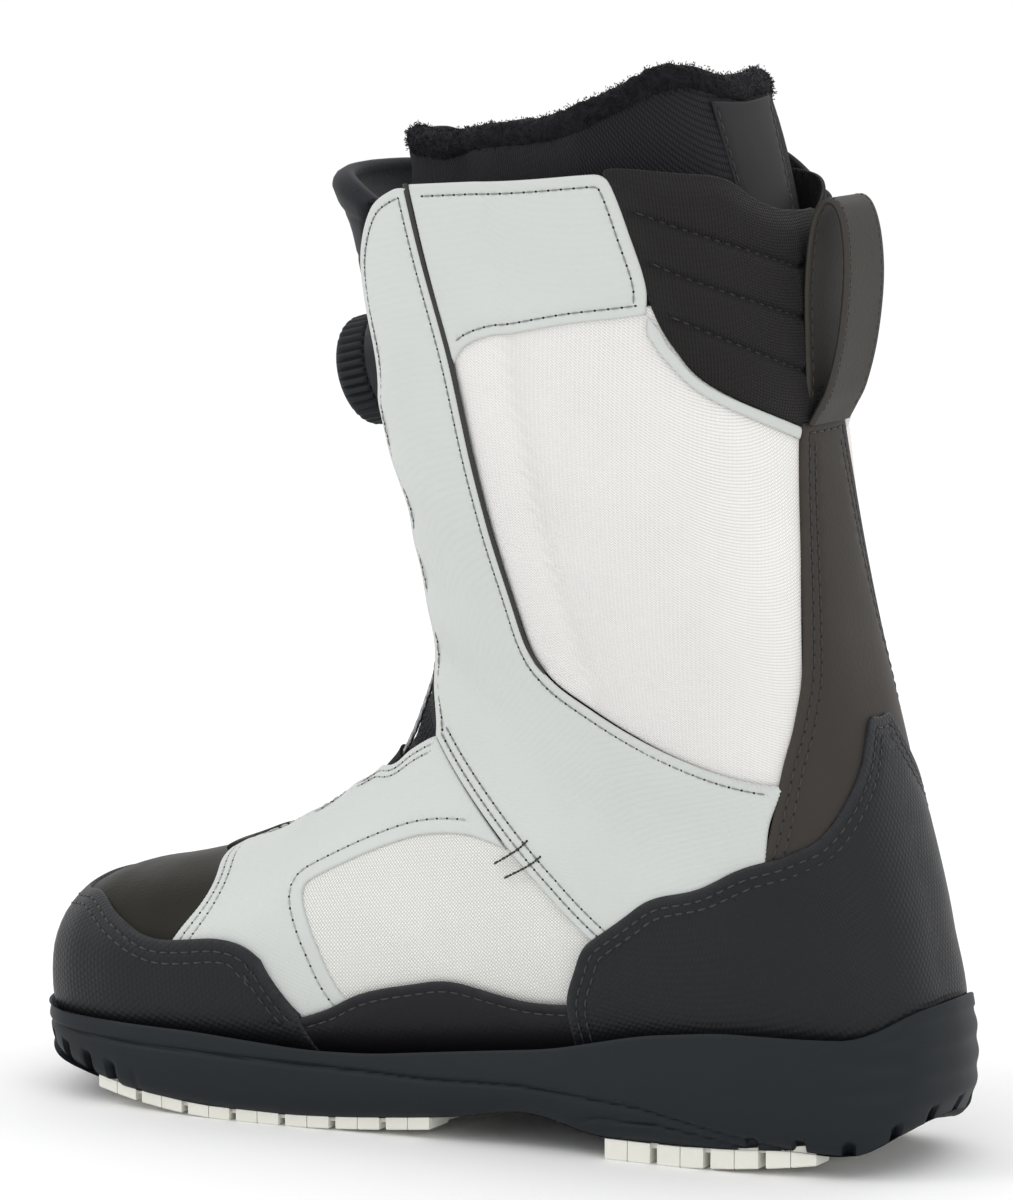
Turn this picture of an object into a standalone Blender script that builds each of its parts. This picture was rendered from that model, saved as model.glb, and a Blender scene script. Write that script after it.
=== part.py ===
"""Right snowboard boot with a rotary lace closure, made of separate pieces.

Metres, +Z up, toe towards -X, medial side towards -Y, origin on the floor
under the middle of the sole.
"""
import math

import bmesh
import bpy
import numpy as np
from mathutils import Matrix, Vector

MM = 0.001

# ---- driving dimensions ----------------------------------------------------

SOLE_LENGTH = 0.305
SOLE_BOTTOM_FORE = 0.0045
SOLE_BOTTOM_HEEL = 0.0065
CUP_CLEARANCE = 0.0049
FLOOR_CLEARANCE = 0.0020
TREAD_GAP = 0.0003
FLOOR_FROM_A = 0.90
FLOOR_TO_U = 0.48
CUTTER_ROWS = 20

SHELL = (0.0, 0.0016)
LAYER_1 = (0.0019, 0.0031)
LAYER_2 = (0.0034, 0.0046)
TONGUE = (-0.0090, -0.0004)
TONGUE_ROLL = -0.0150
LOWER_TONGUE = (-0.0034, -0.0004)
BOARD = (-0.0020, -0.0004)
LINER = (0.0, 0.0060)
LINER_FRONT_SET = 0.0104
LINER_BACK_SET = 0.0040
LINER_TOP_SET = 0.0085
LATERAL_DIP = 0.022
LATERAL_DIP_END = 0.98
LATERAL_DIP_FADE = 0.35
LATERAL_DIP_FROM_U = 0.90
COLLAR_ROLL_START = 0.780
COLLAR_ROLL_RISE = 0.120
LINER_LEAN = 0.16
LINER_LEAN_START = 0.238

DIAL_U = 0.749
DIAL_LIFT = 0.0006
LACE_RADIUS = 0.0007

LOOP_BASE = (0.1100, 0.2205)
LOOP_WIDTH = 0.025
LOOP_THICKNESS = 0.0018
LOOP_FOOT = ((-0.0014, 0.0002), (0.0014, 0.0002))
LOOP_CROTCH = ((0.0, 0.0050), (0.0002, 0.0052))

# Boot form: front/top line (x, z), back/bottom line (x, z), half width,
# sideways shift, squareness of the front half and of the back half.
FORM = np.array([
    (-0.1408, 0.0350, -0.1408, 0.0350, 0.0000, -0.0060, 2.2, 2.4),
    (-0.1398, 0.0520, -0.1402, 0.0215, 0.0200, -0.0060, 2.3, 2.4),
    (-0.1368, 0.0585, -0.1376, 0.0175, 0.0315, -0.0055, 2.3, 2.6),
    (-0.1290, 0.0632, -0.1295, 0.0155, 0.0395, -0.0050, 2.3, 2.8),
    (-0.1160, 0.0672, -0.1145, 0.0145, 0.0455, -0.0040, 2.2, 3.0),
    (-0.0960, 0.0732, -0.0900, 0.0140, 0.0488, -0.0020, 2.1, 3.0),
    (-0.0740, 0.0820, -0.0600, 0.0140, 0.0495, 0.0000, 2.1, 3.0),
    (-0.0530, 0.0942, -0.0250, 0.0145, 0.0472, 0.0010, 2.0, 2.8),
    (-0.0340, 0.1105, 0.0200, 0.0165, 0.0445, 0.0010, 2.0, 2.6),
    (-0.0240, 0.1290, 0.0750, 0.0205, 0.0420, 0.0000, 2.0, 2.6),
    (-0.0220, 0.1430, 0.1220, 0.0225, 0.0400, 0.0000, 2.1, 2.7),
    (-0.0225, 0.1550, 0.1420, 0.0360, 0.0400, 0.0000, 2.1, 2.7),
    (-0.0240, 0.1690, 0.1390, 0.0650, 0.0410, 0.0000, 2.2, 2.6),
    (-0.0270, 0.1870, 0.1270, 0.1110, 0.0455, 0.0000, 2.2, 2.5),
    (-0.0320, 0.2080, 0.1140, 0.1580, 0.0505, 0.0000, 2.2, 2.4),
    (-0.0390, 0.2360, 0.1050, 0.2080, 0.0545, 0.0000, 2.2, 2.4),
    (-0.0460, 0.2660, 0.1010, 0.2510, 0.0565, 0.0000, 2.2, 2.4),
    (-0.0520, 0.2950, 0.0960, 0.2930, 0.0570, 0.0000, 2.2, 2.4),
    (-0.0570, 0.3280, 0.0900, 0.3380, 0.0570, 0.0000, 2.2, 2.4),
])

# Facet lines shared by every layer, so that all layers keep their gaps.
GRID_U = np.array([0.0, 0.015, 0.031, 0.048, 0.070, 0.100, 0.135, 0.175, 0.215, 0.255, 0.300,
                   0.345, 0.390, 0.430, 0.470, 0.505, 0.545, 0.590, 0.640, 0.700, 0.760,
                   0.820, 0.870, 0.920, 0.960, 1.0])
V_CELLS = 24
V_STEP = 2.0 / V_CELLS

# A curve may stray this far from its chords, in metres; the scale turns (u, a) into metres.
OUTLINE_SLACK = 0.0005
OUTLINE_SCALE = np.array([0.33, 0.15])

# Sole plan outline: x, medial y, lateral y.
SOLE_PLAN = [(-0.1500, -0.0270, 0.0160), (-0.1440, -0.0410, 0.0305), (-0.1340, -0.0512, 0.0415),
             (-0.1200, -0.0562, 0.0482), (-0.1000, -0.0584, 0.0532), (-0.0750, -0.0578, 0.0566),
             (-0.0500, -0.0556, 0.0566), (-0.0200, -0.0518, 0.0540), (0.0100, -0.0490, 0.0508),
             (0.0450, -0.0472, 0.0474), (0.0800, -0.0456, 0.0456), (0.1050, -0.0432, 0.0432),
             (0.1250, -0.0390, 0.0390), (0.1400, -0.0310, 0.0310), (0.1490, -0.0185, 0.0185)]
SOLE_TOE_Y = -0.0060

# Sole heights along x: top edge and bottom.
SOLE_TOP = [(-0.1525, 0.0270), (-0.0800, 0.0265), (-0.0400, 0.0240), (-0.0200, 0.0245),
            (0.0400, 0.0315), (0.0700, 0.0385), (0.0950, 0.0415), (0.1380, 0.0415),
            (0.1500, 0.0500), (0.1525, 0.0510)]
SOLE_BOTTOM = [(-0.1525, 0.0150), (-0.1400, 0.0095), (-0.1220, 0.0058), (-0.1080, SOLE_BOTTOM_FORE),
               (0.0020, SOLE_BOTTOM_FORE), (0.0160, 0.0085), (0.0260, 0.0116), (0.0370, 0.0112),
               (0.0480, 0.0080), (0.0540, SOLE_BOTTOM_HEEL), (0.1420, SOLE_BOTTOM_HEEL),
               (0.1525, 0.0090)]

# ---- piece outlines -------------------------------------------------------------
# Each outline is a list of runs of (u, a) control points: u runs toe to top, and
# a = 0 is the front line, 1 the back line. A run bends smoothly; runs meet in corners.

TOE_CAP = [[(0.050, 0.0), (0.052, 0.17), (0.075, 0.24), (0.105, 0.345), (0.135, 0.413),
            (0.185, 0.437), (0.210, 0.49), (0.228, 0.60)],
           [(0.228, 0.60), (0.228, 0.80)], [(0.228, 0.80), (0.0, 0.80)]]
TOE_BOX = [[(0.154, 0.0), (0.154, 0.10), (0.165, 0.25), (0.163, 0.32), (0.148, 0.40), (0.135, 0.47)],
           [(0.135, 0.47), (0.120, 0.50)], [(0.120, 0.50), (0.022, 0.50)], [(0.022, 0.50), (0.022, 0.0)]]
RAND = [[(0.231, 0.606), (0.250, 0.592), (0.275, 0.570), (0.330, 0.574), (0.368, 0.622), (0.386, 0.634)],
        [(0.386, 0.634), (0.367, 0.734), (0.362, 0.80)], [(0.362, 0.80), (0.231, 0.80)]]
COUNTER = [[(0.642, 1.0), (0.640, 0.97), (0.624, 0.92), (0.590, 0.80), (0.574, 0.73), (0.549, 0.64),
            (0.504, 0.545), (0.469, 0.529), (0.434, 0.544), (0.411, 0.584), (0.391, 0.639), (0.371, 0.734)],
           [(0.371, 0.734), (0.366, 0.795)], [(0.366, 0.795), (0.455, 0.795)],
           [(0.455, 0.795), (0.509, 0.83), (0.514, 0.92), (0.516, 1.0)]]
BACKSTAY = [[(0.786, 1.0), (0.786, 0.947)],
            [(0.786, 0.947), (0.720, 0.905), (0.672, 0.862), (0.642, 0.812), (0.612, 0.756),
             (0.576, 0.70), (0.548, 0.66)],
            [(0.548, 0.66), (0.555, 0.78), (0.585, 0.92), (0.598, 1.0)]]
VAMP = [[(0.155, 0.11), (0.180, 0.05), (0.210, 0.055), (0.232, 0.08), (0.260, 0.068), (0.290, 0.09),
         (0.345, 0.175), (0.420, 0.232)],
        [(0.420, 0.232), (0.421, 0.33), (0.424, 0.43)],
        [(0.424, 0.43), (0.400, 0.39), (0.355, 0.352), (0.303, 0.333), (0.258, 0.338), (0.247, 0.36)],
        [(0.247, 0.36), (0.250, 0.44), (0.257, 0.55), (0.270, 0.66)], [(0.270, 0.66), (0.235, 0.66)],
        [(0.235, 0.66), (0.205, 0.58), (0.165, 0.49), (0.140, 0.46)],
        [(0.140, 0.46), (0.152, 0.405), (0.167, 0.32), (0.169, 0.25), (0.158, 0.12)]]
VAMP_WINDOW = [[(0.252, 0.365), (0.262, 0.345), (0.303, 0.34), (0.352, 0.36), (0.395, 0.395), (0.424, 0.44)],
               [(0.424, 0.44), (0.428, 0.545)], [(0.428, 0.545), (0.400, 0.66)],
               [(0.400, 0.66), (0.275, 0.66)], [(0.275, 0.66), (0.262, 0.56), (0.254, 0.44), (0.252, 0.365)]]
QUARTER = [[(0.900, 0.39), (0.885, 0.325), (0.850, 0.275), (0.800, 0.257), (0.765, 0.245), (0.735, 0.212),
            (0.700, 0.20), (0.655, 0.22), (0.610, 0.195), (0.530, 0.185), (0.475, 0.19), (0.431, 0.243)],
           [(0.431, 0.243), (0.430, 0.39), (0.434, 0.51), (0.440, 0.56)],
           [(0.440, 0.56), (0.490, 0.58), (0.540, 0.65)], [(0.540, 0.65), (0.548, 0.652)],
           [(0.548, 0.652), (0.576, 0.69), (0.606, 0.745)],
           [(0.606, 0.745), (0.592, 0.57), (0.586, 0.475), (0.587, 0.44), (0.593, 0.4235)],
           [(0.593, 0.4235), (0.789, 0.4235)], [(0.789, 0.4235), (0.855, 0.405), (0.897, 0.395)]]
PIPING = [[(0.8965, 0.399), (0.855, 0.408), (0.789, 0.427)], [(0.789, 0.427), (0.596, 0.427)],
          [(0.596, 0.427), (0.596, 0.434)], [(0.596, 0.434), (0.789, 0.434)],
          [(0.789, 0.434), (0.855, 0.415), (0.900, 0.406)]]
WINDOW = [[(0.788, 0.437), (0.605, 0.437)], [(0.605, 0.437), (0.591, 0.475), (0.597, 0.57), (0.614, 0.748)],
          [(0.614, 0.748), (0.645, 0.808), (0.675, 0.857), (0.722, 0.899), (0.781, 0.938)],
          [(0.781, 0.938), (0.804, 0.779), (0.822, 0.724), (0.838, 0.69)],
          [(0.838, 0.69), (0.826, 0.554), (0.810, 0.484), (0.788, 0.437)]]
TOP_PATCH = [[(0.903, 0.409), (0.855, 0.418), (0.797, 0.437)],
             [(0.797, 0.437), (0.815, 0.485), (0.830, 0.555), (0.843, 0.69)],
             [(0.843, 0.69), (0.860, 0.694), (0.910, 0.664)],
             [(0.910, 0.664), (0.917, 0.65), (0.917, 0.624), (0.912, 0.53), (0.903, 0.409)]]
COLLAR = [[(0.789, 1.0), (0.789, 0.947)],
          [(0.789, 0.947), (0.810, 0.786), (0.829, 0.731), (0.842, 0.714), (0.863, 0.70), (0.912, 0.67)],
          [(0.912, 0.67), (0.919, 0.66), (0.917, 0.75), (0.915, 0.835), (0.905, 0.885), (0.900, 0.93),
           (0.897, 1.0)]]
TONGUE_UPPER = [[(0.534, 0.0), (0.534, 0.165)],
                [(0.534, 0.165), (0.620, 0.178), (0.700, 0.182), (0.737, 0.19), (0.765, 0.215),
                 (0.835, 0.236), (0.867, 0.262), (0.890, 0.30), (0.908, 0.345)],
                [(0.908, 0.345), (0.919, 0.33), (0.926, 0.25), (0.928, 0.0)]]
TONGUE_FLEX = [(0.432, 0.0), (0.432, 0.170), (0.470, 0.160), (0.530, 0.160), (0.530, 0.0)]
TONGUE_LOWER = [(0.160, 0.0), (0.160, 0.100), (0.240, 0.110), (0.300, 0.150), (0.345, 0.200),
                (0.385, 0.230), (0.410, 0.200), (0.428, 0.170), (0.428, 0.0)]

# Walls that go right round: lower and upper edge as (a, u).
LINER_SPLIT = [(0.260, 0.430), (0.500, 0.450), (0.750, 0.545), (1.0, 0.595)]
FOOT_TOP = [(0.260, 0.426), (0.500, 0.450), (0.750, 0.545), (1.0, 0.595)]
GUSSET_LOW = [(0.215, 0.432), (0.262, 0.429), (0.500, 0.453), (0.750, 0.548), (1.0, 0.598)]
GUSSET_TOP = [(0.215, 0.525), (0.500, 0.520), (0.750, 0.577), (1.0, 0.622)]
CUFF_LOW = [(0.225, 0.530), (0.500, 0.523), (0.750, 0.580), (1.0, 0.625)]
THROAT = [(0.165, 0.0), (0.165, 0.095), (0.240, 0.085), (0.290, 0.110), (0.343, 0.180),
          (0.385, 0.215), (0.424, 0.255)]
CUFF_FRONT = [(0.530, 0.225), (0.620, 0.235), (0.700, 0.240), (0.765, 0.262), (0.835, 0.285),
              (0.867, 0.320), (0.888, 0.385)]
CUFF_TOP = [(0.895, 0.420), (0.906, 0.530), (0.910, 0.650), (0.908, 0.835), (0.892, 0.930),
            (0.890, 1.0)]
LINER_TOP = [(0.130, 0.930), (0.350, 0.932), (0.450, 0.938), (0.520, 0.948), (0.600, 0.961),
             (0.720, 0.964), (0.850, 0.960), (1.0, 0.951)]
RIM_TOP = [(0.130, 0.946), (0.350, 0.948), (0.450, 0.954), (0.520, 0.965), (0.600, 0.979),
           (0.720, 0.982), (0.850, 0.978), (1.0, 0.968)]

# ---- boot form -------------------------------------------------------------


def form_parameters():
    """Return the u value of every station."""
    steps = np.diff(FORM[:, :4], axis=0)
    length = 0.5 * (np.hypot(steps[:, 0], steps[:, 1]) + np.hypot(steps[:, 2], steps[:, 3]))
    u = np.concatenate([[0.0], np.cumsum(length)])
    return u / u[-1]


FORM_U = form_parameters()


def form_slopes():
    """Return smooth slopes of the station values."""
    slopes = np.zeros_like(FORM)
    last = len(FORM) - 1
    rise = np.diff(FORM, axis=0) / np.diff(FORM_U)[:, None]
    slopes[0] = rise[0]
    slopes[last] = rise[-1]
    for i in range(1, last):
        before = FORM_U[i] - FORM_U[i - 1]
        after = FORM_U[i + 1] - FORM_U[i]
        slopes[i] = (rise[i - 1] * after + rise[i] * before) / (before + after)
    return slopes


FORM_SLOPES = form_slopes()


def station(u):
    """Interpolate the station values at each u."""
    u = np.clip(u, 0.0, 1.0)
    i = np.clip(np.searchsorted(FORM_U, u, side="right") - 1, 0, len(FORM_U) - 2)
    h = (FORM_U[i + 1] - FORM_U[i])[:, None]
    t = ((u - FORM_U[i]) / (FORM_U[i + 1] - FORM_U[i]))[:, None]
    return ((2 * t**3 - 3 * t**2 + 1) * FORM[i] + (t**3 - 2 * t**2 + t) * h * FORM_SLOPES[i]
            + (3 * t**2 - 2 * t**3) * FORM[i + 1] + (t**3 - t**2) * h * FORM_SLOPES[i + 1])


def form_point(u, v):
    """Return points of the boot form; v = 0 front line, +-1 back line, v < 0 medial."""
    s = station(u)
    angle = math.pi * np.abs(v)
    cos, sin = np.cos(angle), np.sin(angle)
    power = np.where(cos > 0, s[:, 6], s[:, 7])
    along = np.sign(cos) * np.abs(cos)**(2 / power)
    across = np.abs(sin)**(2 / power)
    middle = (s[:, 0:2] + s[:, 2:4]) / 2
    half = (s[:, 0:2] - s[:, 2:4]) / 2
    xz = middle + half * along[:, None]
    y = s[:, 5] + np.sign(v) * s[:, 4] * across
    return np.stack([xz[:, 0], y, xz[:, 1]], 1)


def form_normal(u, v):
    """Return outward unit normals of the boot form."""
    step = 1e-3
    u = np.clip(u, 4 * step, 1 - 2 * step)
    wrap = (v + 1.0) % 2.0 - 1.0
    wrap = np.where(np.abs(wrap) > 1 - step, np.sign(wrap) * (1 - step), wrap)
    along = form_point(u + step, wrap) - form_point(u - step, wrap)
    around = form_point(u, wrap + step) - form_point(u, wrap - step)
    normal = np.cross(along, around)
    return normal / np.linalg.norm(normal, axis=1, keepdims=True)


def grid_points(depth, liner=False):
    """Return the facet vertices of the layer at this depth, shape (u, v, 3)."""
    k = np.arange(V_CELLS)
    v_values = (k * V_STEP + 1.0) % 2.0 - 1.0
    uu, vv = np.meshgrid(GRID_U, v_values, indexing="ij")
    u, v = uu.ravel(), vv.ravel()
    normal = form_normal(u, v)
    normal[u < 1e-6] = (-1.0, 0.0, 0.0)
    points = form_point(u, v)
    if liner:
        front = np.clip((0.64 - np.abs(v)) / 0.22, 0.0, 1.0)
        rise = np.clip((u - 0.40) / 0.14, 0.0, 1.0)
        roll = np.clip((u - COLLAR_ROLL_START) / COLLAR_ROLL_RISE, 0.0, 1.0)
        inset = (LINER_BACK_SET + (LINER_FRONT_SET - LINER_BACK_SET) * front * rise
                 + LINER_TOP_SET * front * roll + depth)
        points = points - inset[:, None] * normal
        s = station(u)
        share = np.clip((points[:, 0] - s[:, 0]) / (s[:, 2] - s[:, 0] + 1e-9), 0.0, 1.0)
        lean = LINER_LEAN * np.clip(points[:, 2] - LINER_LEAN_START, 0.0, None)
        points[:, 0] -= lean * share**2
    else:
        points = points + depth * normal
    return points.reshape(len(GRID_U), V_CELLS, 3)


def on_facets(grid, uv):
    """Place (u, v) points on the facets of one layer."""
    out = []
    for u, v in uv:
        i = int(np.clip(np.searchsorted(GRID_U, u, side="right") - 1, 0, len(GRID_U) - 2))
        s = (u - GRID_U[i]) / (GRID_U[i + 1] - GRID_U[i])
        turns = (v % 2.0) / V_STEP
        j = int(math.floor(turns + 1e-9)) % V_CELLS
        t = turns - math.floor(turns + 1e-9)
        j2 = (j + 1) % V_CELLS
        if s + t <= 1.0:
            p = grid[i, j] + s * (grid[i + 1, j] - grid[i, j]) + t * (grid[i, j2] - grid[i, j])
        else:
            p = (grid[i + 1, j2] + (1 - s) * (grid[i, j2] - grid[i + 1, j2])
                 + (1 - t) * (grid[i + 1, j] - grid[i + 1, j2]))
        out.append(p)
    return out


# ---- panels ------------------------------------------------------------------


def inside(outline, x, y):
    """Tell whether a point lies inside a closed outline."""
    found = False
    j = len(outline) - 1
    for i in range(len(outline)):
        xi, yi = outline[i]
        xj, yj = outline[j]
        if (yi > y) != (yj > y) and x < (xj - xi) * (y - yi) / (yj - yi) + xi:
            found = not found
        j = i
    return found


def segment_meets_box(p, q, low, high):
    """Tell whether a segment passes through a box."""
    start, end = 0.0, 1.0
    for axis in range(2):
        d = q[axis] - p[axis]
        if abs(d) < 1e-12:
            if p[axis] < low[axis] or p[axis] > high[axis]:
                return False
            continue
        a = (low[axis] - p[axis]) / d
        b = (high[axis] - p[axis]) / d
        start = max(start, min(a, b))
        end = min(end, max(a, b))
    return start <= end + 1e-9


def cut_domain(outline):
    """Cut the facet plan to an outline; return (u, v) points and faces."""
    us = [p[0] for p in outline]
    vs = [p[1] for p in outline]
    first = int(np.searchsorted(GRID_U, min(us) + 1e-9, side="right")) - 1
    last = int(np.searchsorted(GRID_U, max(us) - 1e-9, side="left"))
    j_first = int(math.floor(min(vs) / V_STEP + 1e-6))
    j_last = int(math.ceil(max(vs) / V_STEP - 1e-6))
    bm = bmesh.new()
    points = {}
    for i in range(first, last + 1):
        for j in range(j_first, j_last + 1):
            points[i, j] = bm.verts.new((GRID_U[i], j * V_STEP, 0.0))
    for i in range(first, last):
        for j in range(j_first, j_last):
            a, b = points[i, j], points[i + 1, j]
            c, d = points[i + 1, j + 1], points[i, j + 1]
            bm.faces.new((a, b, d))
            bm.faces.new((b, c, d))
    for n, p in enumerate(outline):
        q = outline[(n + 1) % len(outline)]
        hit = []
        for face in bm.faces:
            x = [w.co.x for w in face.verts]
            y = [w.co.y for w in face.verts]
            if segment_meets_box(p, q, (min(x) - 1e-6, min(y) - 1e-6), (max(x) + 1e-6, max(y) + 1e-6)):
                hit.append(face)
        side = Vector((q[1] - p[1], p[0] - q[0], 0.0))
        if not hit or side.length < 1e-9:
            continue
        edges = list({e for face in hit for e in face.edges})
        verts = list({w for face in hit for w in face.verts})
        bmesh.ops.bisect_plane(bm, geom=verts + edges + hit, dist=1.5e-4,
                               plane_co=(p[0], p[1], 0.0), plane_no=side.normalized())
    outer = [f for f in bm.faces if not inside(outline, *f.calc_center_median()[:2])]
    bmesh.ops.delete(bm, geom=outer, context="FACES")
    bmesh.ops.triangulate(bm, faces=bm.faces[:])
    bm.verts.index_update()
    uv = [(w.co.x, w.co.y) for w in bm.verts]
    faces = [[w.index for w in f.verts] for f in bm.faces]
    bm.free()
    return uv, faces


def shell_mesh(name, outline, outer, inner):
    """Make a closed solid between two layers inside an outline."""
    uv, faces = cut_domain(outline)
    keys, index, unique = {}, [], []
    for u, v in uv:
        key = (round(u, 6), round((v + 1e-7) % 2.0, 6)) if u > 1e-6 else (0.0, 0.0)
        if key not in keys:
            keys[key] = len(unique)
            unique.append((u, v))
        index.append(keys[key])
    count = len(unique)
    points = [tuple(p) for p in on_facets(outer, unique)] + [tuple(p) for p in on_facets(inner, unique)]
    solid, edges = [], {}
    for face in faces:
        tri = [index[i] for i in face]
        if len(set(tri)) < 3:
            continue
        solid.append(tri)
        solid.append([i + count for i in reversed(tri)])
        for a, b in zip(tri, tri[1:] + tri[:1]):
            edges[a, b] = True
    for a, b in edges:
        if (b, a) not in edges:
            solid.append([a, a + count, b + count])
            solid.append([a, b + count, b])
    return make_object(name, points, solid)


def mirrored(half):
    """Close a half outline over the front line."""
    return half + [(u, -a) for u, a in reversed(half) if a > 1e-9]


def round_back(half):
    """Close a half outline over the back line."""
    return half + [(u, 2.0 - a) for u, a in reversed(half) if a < 1.0 - 1e-9]


def bend(points, per_span):
    """Return a smooth curve through its control points."""
    p = np.array(points, float)
    padded = np.vstack([2 * p[0] - p[1], p, 2 * p[-1] - p[-2]])
    out = []
    for i in range(1, len(padded) - 2):
        a, b, c, d = padded[i - 1:i + 3]
        t = np.linspace(0, 1, per_span, endpoint=False)[:, None]
        out.append(0.5 * (2 * b + (c - a) * t + (2 * a - 5 * b + 4 * c - d) * t**2
                          + (3 * b - a - 3 * c + d) * t**3))
    return np.vstack(out + [p[-1:]])


def thinned(curve):
    """Drop the points of a curve that lie almost on a straight line."""
    scaled = curve * OUTLINE_SCALE
    kept = [0]
    for j in range(2, len(curve)):
        start, chord = scaled[kept[-1]], scaled[j] - scaled[kept[-1]]
        between = scaled[kept[-1] + 1:j] - start
        off = np.abs(between[:, 0] * chord[1] - between[:, 1] * chord[0]) / np.linalg.norm(chord)
        if off.max() > OUTLINE_SLACK:
            kept.append(j - 1)
    return curve[kept + [len(curve) - 1]]


def outline_of(runs):
    """Join the runs of an outline into one list of (u, a) points."""
    points = []
    for run in runs:
        curve = thinned(bend(run, 4)) if len(run) > 2 else np.array(run)
        points += [(float(u), float(a)) for u, a in curve]
    return [p for i, p in enumerate(points) if i == 0 or p != points[i - 1]]


def on_side(outline, side):
    """Put a one-sided outline on the medial (-1) or lateral (+1) side."""
    return [(u, side * a) for u, a in outline]


def band(low, high):
    """Outline round the back between two edges given as (a, u)."""
    half = [(u, a) for a, u in reversed(high)] + [(u, a) for a, u in low]
    return round_back(half)


def dipped(outline):
    """Lower the lateral side of the liner's top edge."""
    out = []
    for u, v in outline:
        share = min(1.0, max(0.0, (LATERAL_DIP_END - v) / LATERAL_DIP_FADE))
        out.append((u - LATERAL_DIP * share if u > LATERAL_DIP_FROM_U else u, v))
    return out


# ---- general solids ----------------------------------------------------------

ALL = []


def make_object(name, points, faces, location=None, smooth=40.0):
    """Create one closed mesh object."""
    mesh = bpy.data.meshes.new(name)
    mesh.from_pydata([tuple(p) for p in points], [], faces)
    bm = bmesh.new()
    bm.from_mesh(mesh)
    bmesh.ops.recalc_face_normals(bm, faces=bm.faces[:])
    bmesh.ops.triangulate(bm, faces=[f for f in bm.faces if len(f.verts) > 4])
    bm.to_mesh(mesh)
    bm.free()
    mesh.polygons.foreach_set("use_smooth", [True] * len(mesh.polygons))
    mesh.set_sharp_from_angle(angle=math.radians(smooth))
    obj = bpy.data.objects.new(name, mesh)
    bpy.context.collection.objects.link(obj)
    if location is not None:
        obj.location = location
    ALL.append(obj)
    return obj


def ring_mesh(name, rings, closed=False, matrix=None):
    """Join rings of equal length; end rings are capped unless closed."""
    size = len(rings[0])
    points = [p for ring in rings for p in ring]
    faces = []
    pairs = list(zip(range(len(rings)), range(1, len(rings))))
    if closed:
        pairs.append((len(rings) - 1, 0))
    for a, b in pairs:
        for i in range(size):
            j = (i + 1) % size
            faces.append([a * size + i, a * size + j, b * size + j, b * size + i])
    if not closed:
        faces.append(list(range(size)))
        faces.append([(len(rings) - 1) * size + i for i in range(size)])
    obj = make_object(name, points, faces)
    if matrix is not None:
        obj.matrix_world = matrix
    return obj


def turned(name, profile, matrix, closed=False, segments=32, teeth=0, depth=0.0, toothed=()):
    """Turn a profile of (r, z) about Z; the listed profile points carry teeth."""
    if teeth:
        segments = teeth * 2
    rings = []
    for n, (r, z) in enumerate(profile):
        ring = []
        for i in range(segments):
            angle = 2 * math.pi * i / segments
            radius = r - (depth if n in toothed and i % 2 else 0.0)
            ring.append((radius * math.cos(angle), radius * math.sin(angle), z))
        rings.append(ring)
    return ring_mesh(name, rings, closed, matrix)


def table(rows, x):
    """Read a smooth-edged height table at x."""
    return float(np.interp(x, [r[0] for r in rows], [r[1] for r in rows]))


# ---- sole ----------------------------------------------------------------------


def sole_outline(count=60):
    """Return the sole plan outline as a closed ring of points."""
    half = SOLE_LENGTH / 2
    nodes = [(-half, SOLE_TOE_Y)]
    nodes += [(x, lateral) for x, _, lateral in SOLE_PLAN]
    nodes += [(half, 0.0)]
    nodes += [(x, medial) for x, medial, _ in reversed(SOLE_PLAN)]
    p = np.array(nodes)
    dense = []
    for i in range(len(p)):
        a, b, c, d = p[i - 1], p[i], p[(i + 1) % len(p)], p[(i + 2) % len(p)]
        for t in np.linspace(0, 1, 12, endpoint=False):
            dense.append(0.5 * (2 * b + (c - a) * t + (2 * a - 5 * b + 4 * c - d) * t**2
                                + (3 * b - a - 3 * c + d) * t**3))
    dense = np.array(dense)
    steps = np.linalg.norm(np.diff(np.vstack([dense, dense[:1]]), axis=0), axis=1)
    along = np.concatenate([[0], np.cumsum(steps)])
    want = np.linspace(0, along[-1], count, endpoint=False)
    closed = np.vstack([dense, dense[:1]])
    ring = np.stack([np.interp(want, along, closed[:, k]) for k in range(2)], 1)
    ring[:, 0] = (ring[:, 0] - ring[:, 0].min()) / (ring[:, 0].max() - ring[:, 0].min())
    ring[:, 0] = ring[:, 0] * SOLE_LENGTH - half
    return ring


def inset(ring, distance):
    """Move a plan ring inwards."""
    ahead = np.roll(ring, -1, axis=0) - np.roll(ring, 1, axis=0)
    normal = np.stack([-ahead[:, 1], ahead[:, 0]], 1)
    normal /= np.linalg.norm(normal, axis=1, keepdims=True)
    if np.sum((ring.mean(axis=0) - ring) * normal) < 0:
        normal = -normal
    return ring + normal * distance


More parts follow.
